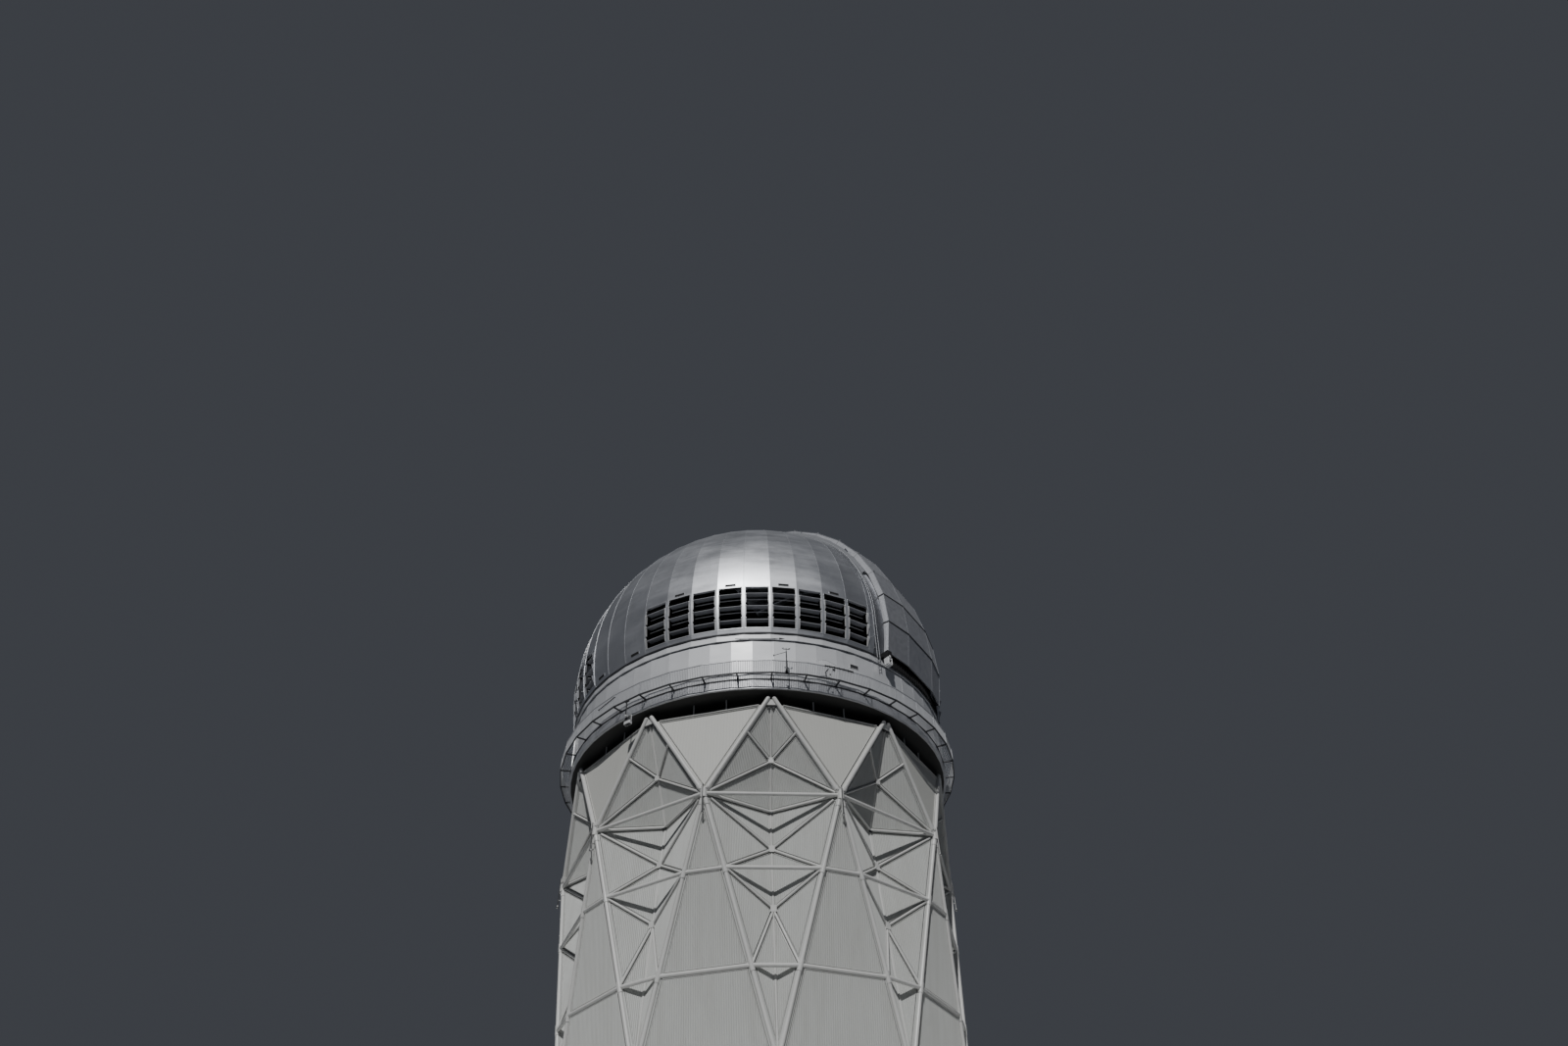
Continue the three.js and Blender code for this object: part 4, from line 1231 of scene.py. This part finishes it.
def mastPieces():
    shape, turn, r = Shape(), mast["turn"], mast["r"]
    shape.block(turn, *mast["foot"])
    for low, high, size, sides in (mast["pole"], mast["tip"]):
        shape.tube(at(turn, r, low), at(turn, r, high), size, sides)
    for (aside, end), (z0, z1), size in (mast["brace"], mast["arm"]):
        shape.tube(at(turn, r, z0), at(turn + aside, end, z1), size, 8)
    half, z, size = mast["cross"]
    shape.tube(at(turn - half, r, z), at(turn + half, r, z), size, 8)
    for side in (-1, 1):
        hub = at(turn + side * half, r, z + 0.01)
        head = hub + upBy(mast["cupUp"])
        shape.tube(hub, hub + upBy(0.035), 0.012, 10)
        for k in range(3):
            a = 2 * math.pi * k / 3 + side
            arm = head + Vector((math.cos(a), math.sin(a), 0)) * mast["cupOut"]
            shape.tube(head, arm, 0.004, 6)
            shape.tube(arm, arm + Vector((-math.sin(a), math.cos(a), 0)) * 0.02, mast["cup"], 10, 0.35)
    (aside, end), heights, size = mast["arm"]
    tip, reach = at(turn + aside, end, heights[1]), upBy(mast["armEnd"])
    shape.tube(tip - reach, tip + reach, 0.02, 10)
    settle(shape.made("weatherMast", True), "tower", "dark_steel", replaced=["weather_mast"])


lamp = {
    "turn": -40.3, "r": 8.20, "low": 15.17, "wide": 0.30, "deep": 0.16,
    "stem": (8.35, 15.80, 0.05, 0.036, 0.664, 0.006), "head": (8.345, 16.118, 0.20, 0.07, 0.028, 0.006),
    "arm": (8.286, 15.480, 0.07, 0.18, 0.05, 0.008), "yoke": (0.014, 0.05, 0.26, 0.003), "yokeUp": 0.24,
    "fins": 6, "finPitch": 0.042, "finUp": 0.30,
}


def lampPieces():
    shape, dark = Shape(), Shape()
    turn, r, low, w, d = (lamp[n] for n in ("turn", "r", "low", "wide", "deep"))
    dark.block(turn, *lamp["stem"])
    dark.block(turn, *lamp["head"])
    shape.block(turn, *lamp["arm"])
    for side in (-1, 1):
        aside = math.degrees(side * (w / 2 + 0.008) / r)
        shape.block(turn + aside, r, low + lamp["yokeUp"], *lamp["yoke"])
    shape.block(turn, r, low + 0.35, w + 0.03, 0.05, 0.016, 0.003)
    # pale lens frame, dark finned back
    shape.block(turn, r, low + 0.06, w, d, 0.12, 0.02)
    dark.block(turn, r, low + 0.20, w - 0.03, d - 0.02, 0.18, 0.015)
    dark.block(turn, r, low + 0.002, w - 0.05, d - 0.04, 0.02)
    for k in range(lamp["fins"]):
        aside = math.degrees((k - (lamp["fins"] - 1) / 2) * lamp["finPitch"] / r)
        dark.block(turn + aside, r, low + lamp["finUp"], 0.012, d - 0.03, 0.05)
    settle(shape.made("floodlight_housing"), "tower", "fitting_paint", replaced=["floodlight"])
    settle(dark.made("floodlight_fins"), "tower", "dark_steel")


wallVent = {
    "turn": 24.5, "r": 7.975, "z": 17.345, "wide": 0.36, "tall": 0.16, "deep": 0.03, "rimR": 7.978,
    "rims": ((0, 0.085, 0.38, 0.010), (0, -0.085, 0.38, 0.010),
             (-0.186, 0, 0.010, 0.17), (0.186, 0, 0.010, 0.17)),
}
railTray = {"turn": 14.1, "step": 1.32, "joints": 7, "r": 8.396, "z": 16.712, "thick": 0.027,
            "clip": 0.016, "clipHalf": 0.05}
railBoxes = {"box": (16.4, 8.405, 16.58, 0.11, 0.03, 0.08, 0.006),
             "foot": (15.3, 8.405, 16.33, 0.05, 0.03, 0.05, 0.006)}
wallRods = {
    "bracket foot": ((14.2, 8.40, 16.22), (14.05, 8.42, 16.40), 0.022),
    "bracket hook": ((14.05, 8.42, 16.40), (14.9, 8.40, 16.57), 0.022),
    "leaning bar": ((-51.4, 8.40, 16.47), (-44.9, 8.40, 16.59), 0.018),
    "conduit on the cap": ((-9.8, 8.046, 18.055), (3.4, 8.046, 18.045), 0.011),
    "conduit below it": ((-6.0, 8.046, 18.02), (2.2, 8.046, 18.035), 0.009),
}
barClips = {"spots": ((-51.4, 16.47), (-48.6, 16.52), (-44.9, 16.59)), "r": (8.37, 8.412), "thick": 0.018}
ledgeRod = {"pale": ((-9.6, 8.05, 18.035), (2.6, 8.05, 18.04), 0.014, 8),
            "point": ((2.4, 8.05, 18.04), (3.9, 8.05, 18.03), 0.034, 10, 0.3)}


def wallFittings():
    dark, pale = Shape(), Shape()
    vent, tray = wallVent, railTray
    dark.block(vent["turn"], vent["r"], vent["z"], vent["wide"], vent["deep"], vent["tall"])
    for dx, dz, wide, tall in vent["rims"]:
        aside = math.degrees(dx / vent["rimR"])
        pale.block(vent["turn"] + aside, vent["rimR"], vent["z"] + dz, wide, vent["deep"], tall, 0.004)
    # cable tray along the hand rail, with clips
    knots = [at(tray["turn"] + i * tray["step"], tray["r"], tray["z"] - 0.004 * (i % 2))
             for i in range(tray["joints"])]
    for a, b in zip(knots, knots[1:]):
        dark.tube(a, b, tray["thick"], 8)
    for p in knots:
        reach = upBy(tray["clipHalf"])
        dark.tube(p - reach, p + reach, tray["clip"], 6)
    # small boxes and hooked bracket on the rail, leaning bar on the left, conduits on the wall cap
    for box in railBoxes.values():
        dark.block(*box)
    for start, end, size in wallRods.values():
        dark.tube(at(*start), at(*end), size, 8)
    for turn, z in barClips["spots"]:
        start, end = (at(turn, r, z) for r in barClips["r"])
        dark.tube(start, end, barClips["thick"], 8)
    for form, key in ((pale, "pale"), (dark, "point")):
        start, end, *size = ledgeRod[key]
        form.tube(at(*start), at(*end), *size)
    settle(dark.made("wallFittings_dark", True), "tower", "dark_steel")
    settle(pale.made("wallFittings_pale", True), "tower", "fitting_paint")


grille = {"turn": 11.6, "step": 0.585, "bars": 11, "r": 8.379, "foot": 16.72, "top": 16.74, "rise": 0.25,
          "thick": 0.012}


def arcGrille():
    # arched picket grille standing above the hand rail
    lines, top, last = [], [], grille["bars"] - 1
    for i in range(grille["bars"]):
        turn = grille["turn"] + i * grille["step"]
        arch = math.sin(math.pi * (0.12 + 0.78 * (i / last) ** 0.8))
        top.append(at(turn, grille["r"], grille["top"] + grille["rise"] * arch))
        lines.append([at(turn, grille["r"], grille["foot"]), top[-1]])
    bars("railGrille", lines + [top], grille["thick"], 5, "tower", "fitting_paint")


kneePipe = {
    "proud": 0.135, "head": 12.02, "foot": 10.96, "thick": 0.015, "highlightAside": 0.24, "line": 0.011,
    "clips": (11.98, 11.5, 11.2), "lampHead": 10.965, "lampFoot": 10.90, "lens": 10.89,
    "lug": (10.945, 0.022, 0.04, 0.05, 0.005), "lugAside": 0.42,
}


def kneeLamps():
    shape, dark, pipe = Shape(), Shape(), kneePipe
    r = tower["knee"][0] + pipe["proud"]
    for k in range(tower["bays"]):
        turn = (k + 0.5) * bayTurn
        aside = turn - pipe["highlightAside"]
        dark.tube(at(turn, r, pipe["head"]), at(turn, r, pipe["foot"]), pipe["thick"], 10)
        # painted highlight: a pale thin rod beside the dark pipe stands for the bright edge of the pipe
        shape.tube(at(aside, r - 0.01, pipe["head"]), at(aside, r - 0.01, pipe["foot"]), pipe["line"], 8)
        for z in pipe["clips"]:
            shape.tube(at(turn, r - 0.10, z), at(turn, r, z), 0.010, 6)
        dark.tube(at(turn, r, pipe["lampHead"]), at(turn, r, pipe["lampFoot"]), 0.030, 14, 1.3)
        shape.tube(at(turn, r, pipe["lampFoot"]), at(turn, r, pipe["lens"]), 0.036, 14)
        for side in (-1, 1):
            shape.block(turn + side * pipe["lugAside"], r - 0.01, *pipe["lug"])
    settle(shape.made("kneeConduits", True), "tower", "tube_paint")
    settle(dark.made("kneeLamps", True), "tower", "dark_steel")


mastPieces()
lampPieces()
wallFittings()
arcGrille()
kneeLamps()
print("fittings made")

# Stage: pale floor and soft light
stageLook = {
    "floorR": 17.0, "floorLow": 0.003, "sky": (0.052, 0.056, 0.066), "skyPower": 1.0, "far": 60,
    "key": {"turn": -13, "height": 42.2, "power": 2.35, "soft": 0.6},
    "fill": {"turn": 186, "height": 32, "power": 0.9, "soft": 25},
}


def makeStage():
    mesh = bpy.data.meshes.new("floor")
    work = bmesh.new()
    bmesh.ops.create_circle(work, cap_ends=True, radius=stageLook["floorR"], segments=96)
    work.to_mesh(mesh)
    work.free()
    floor = bpy.data.objects.new("floor", mesh)
    bpy.context.scene.collection.objects.link(floor)
    floor.location.z = -stageLook["floorLow"]
    paint = Finish("floorPaint", Roughness=0.85)
    paint.feed("Base Color", paint.mix(paint.noise(0.3), (0.66, 0.66, 0.66), (0.72, 0.72, 0.71)))
    mesh.materials.append(paint.material)
    for name in ("key", "fill"):
        look = stageLook[name]
        light = bpy.data.lights.new(name, "SUN")
        light.energy, light.angle = look["power"], math.radians(look["soft"])
        source = bpy.data.objects.new(name, light)
        bpy.context.scene.collection.objects.link(source)
        h = math.radians(look["height"])
        away = at(look["turn"], math.cos(h), math.sin(h))
        source.rotation_mode = "QUATERNION"
        source.rotation_quaternion = away.to_track_quat("Z", "Y")
        source.location = away * stageLook["far"]
    world = bpy.data.worlds.new("softSky")
    world.use_nodes = True
    world.node_tree.nodes["Background"].inputs[0].default_value = (*stageLook["sky"], 1)
    world.node_tree.nodes["Background"].inputs[1].default_value = stageLook["skyPower"]
    bpy.context.scene.world = world


makeStage()
print("stage set")
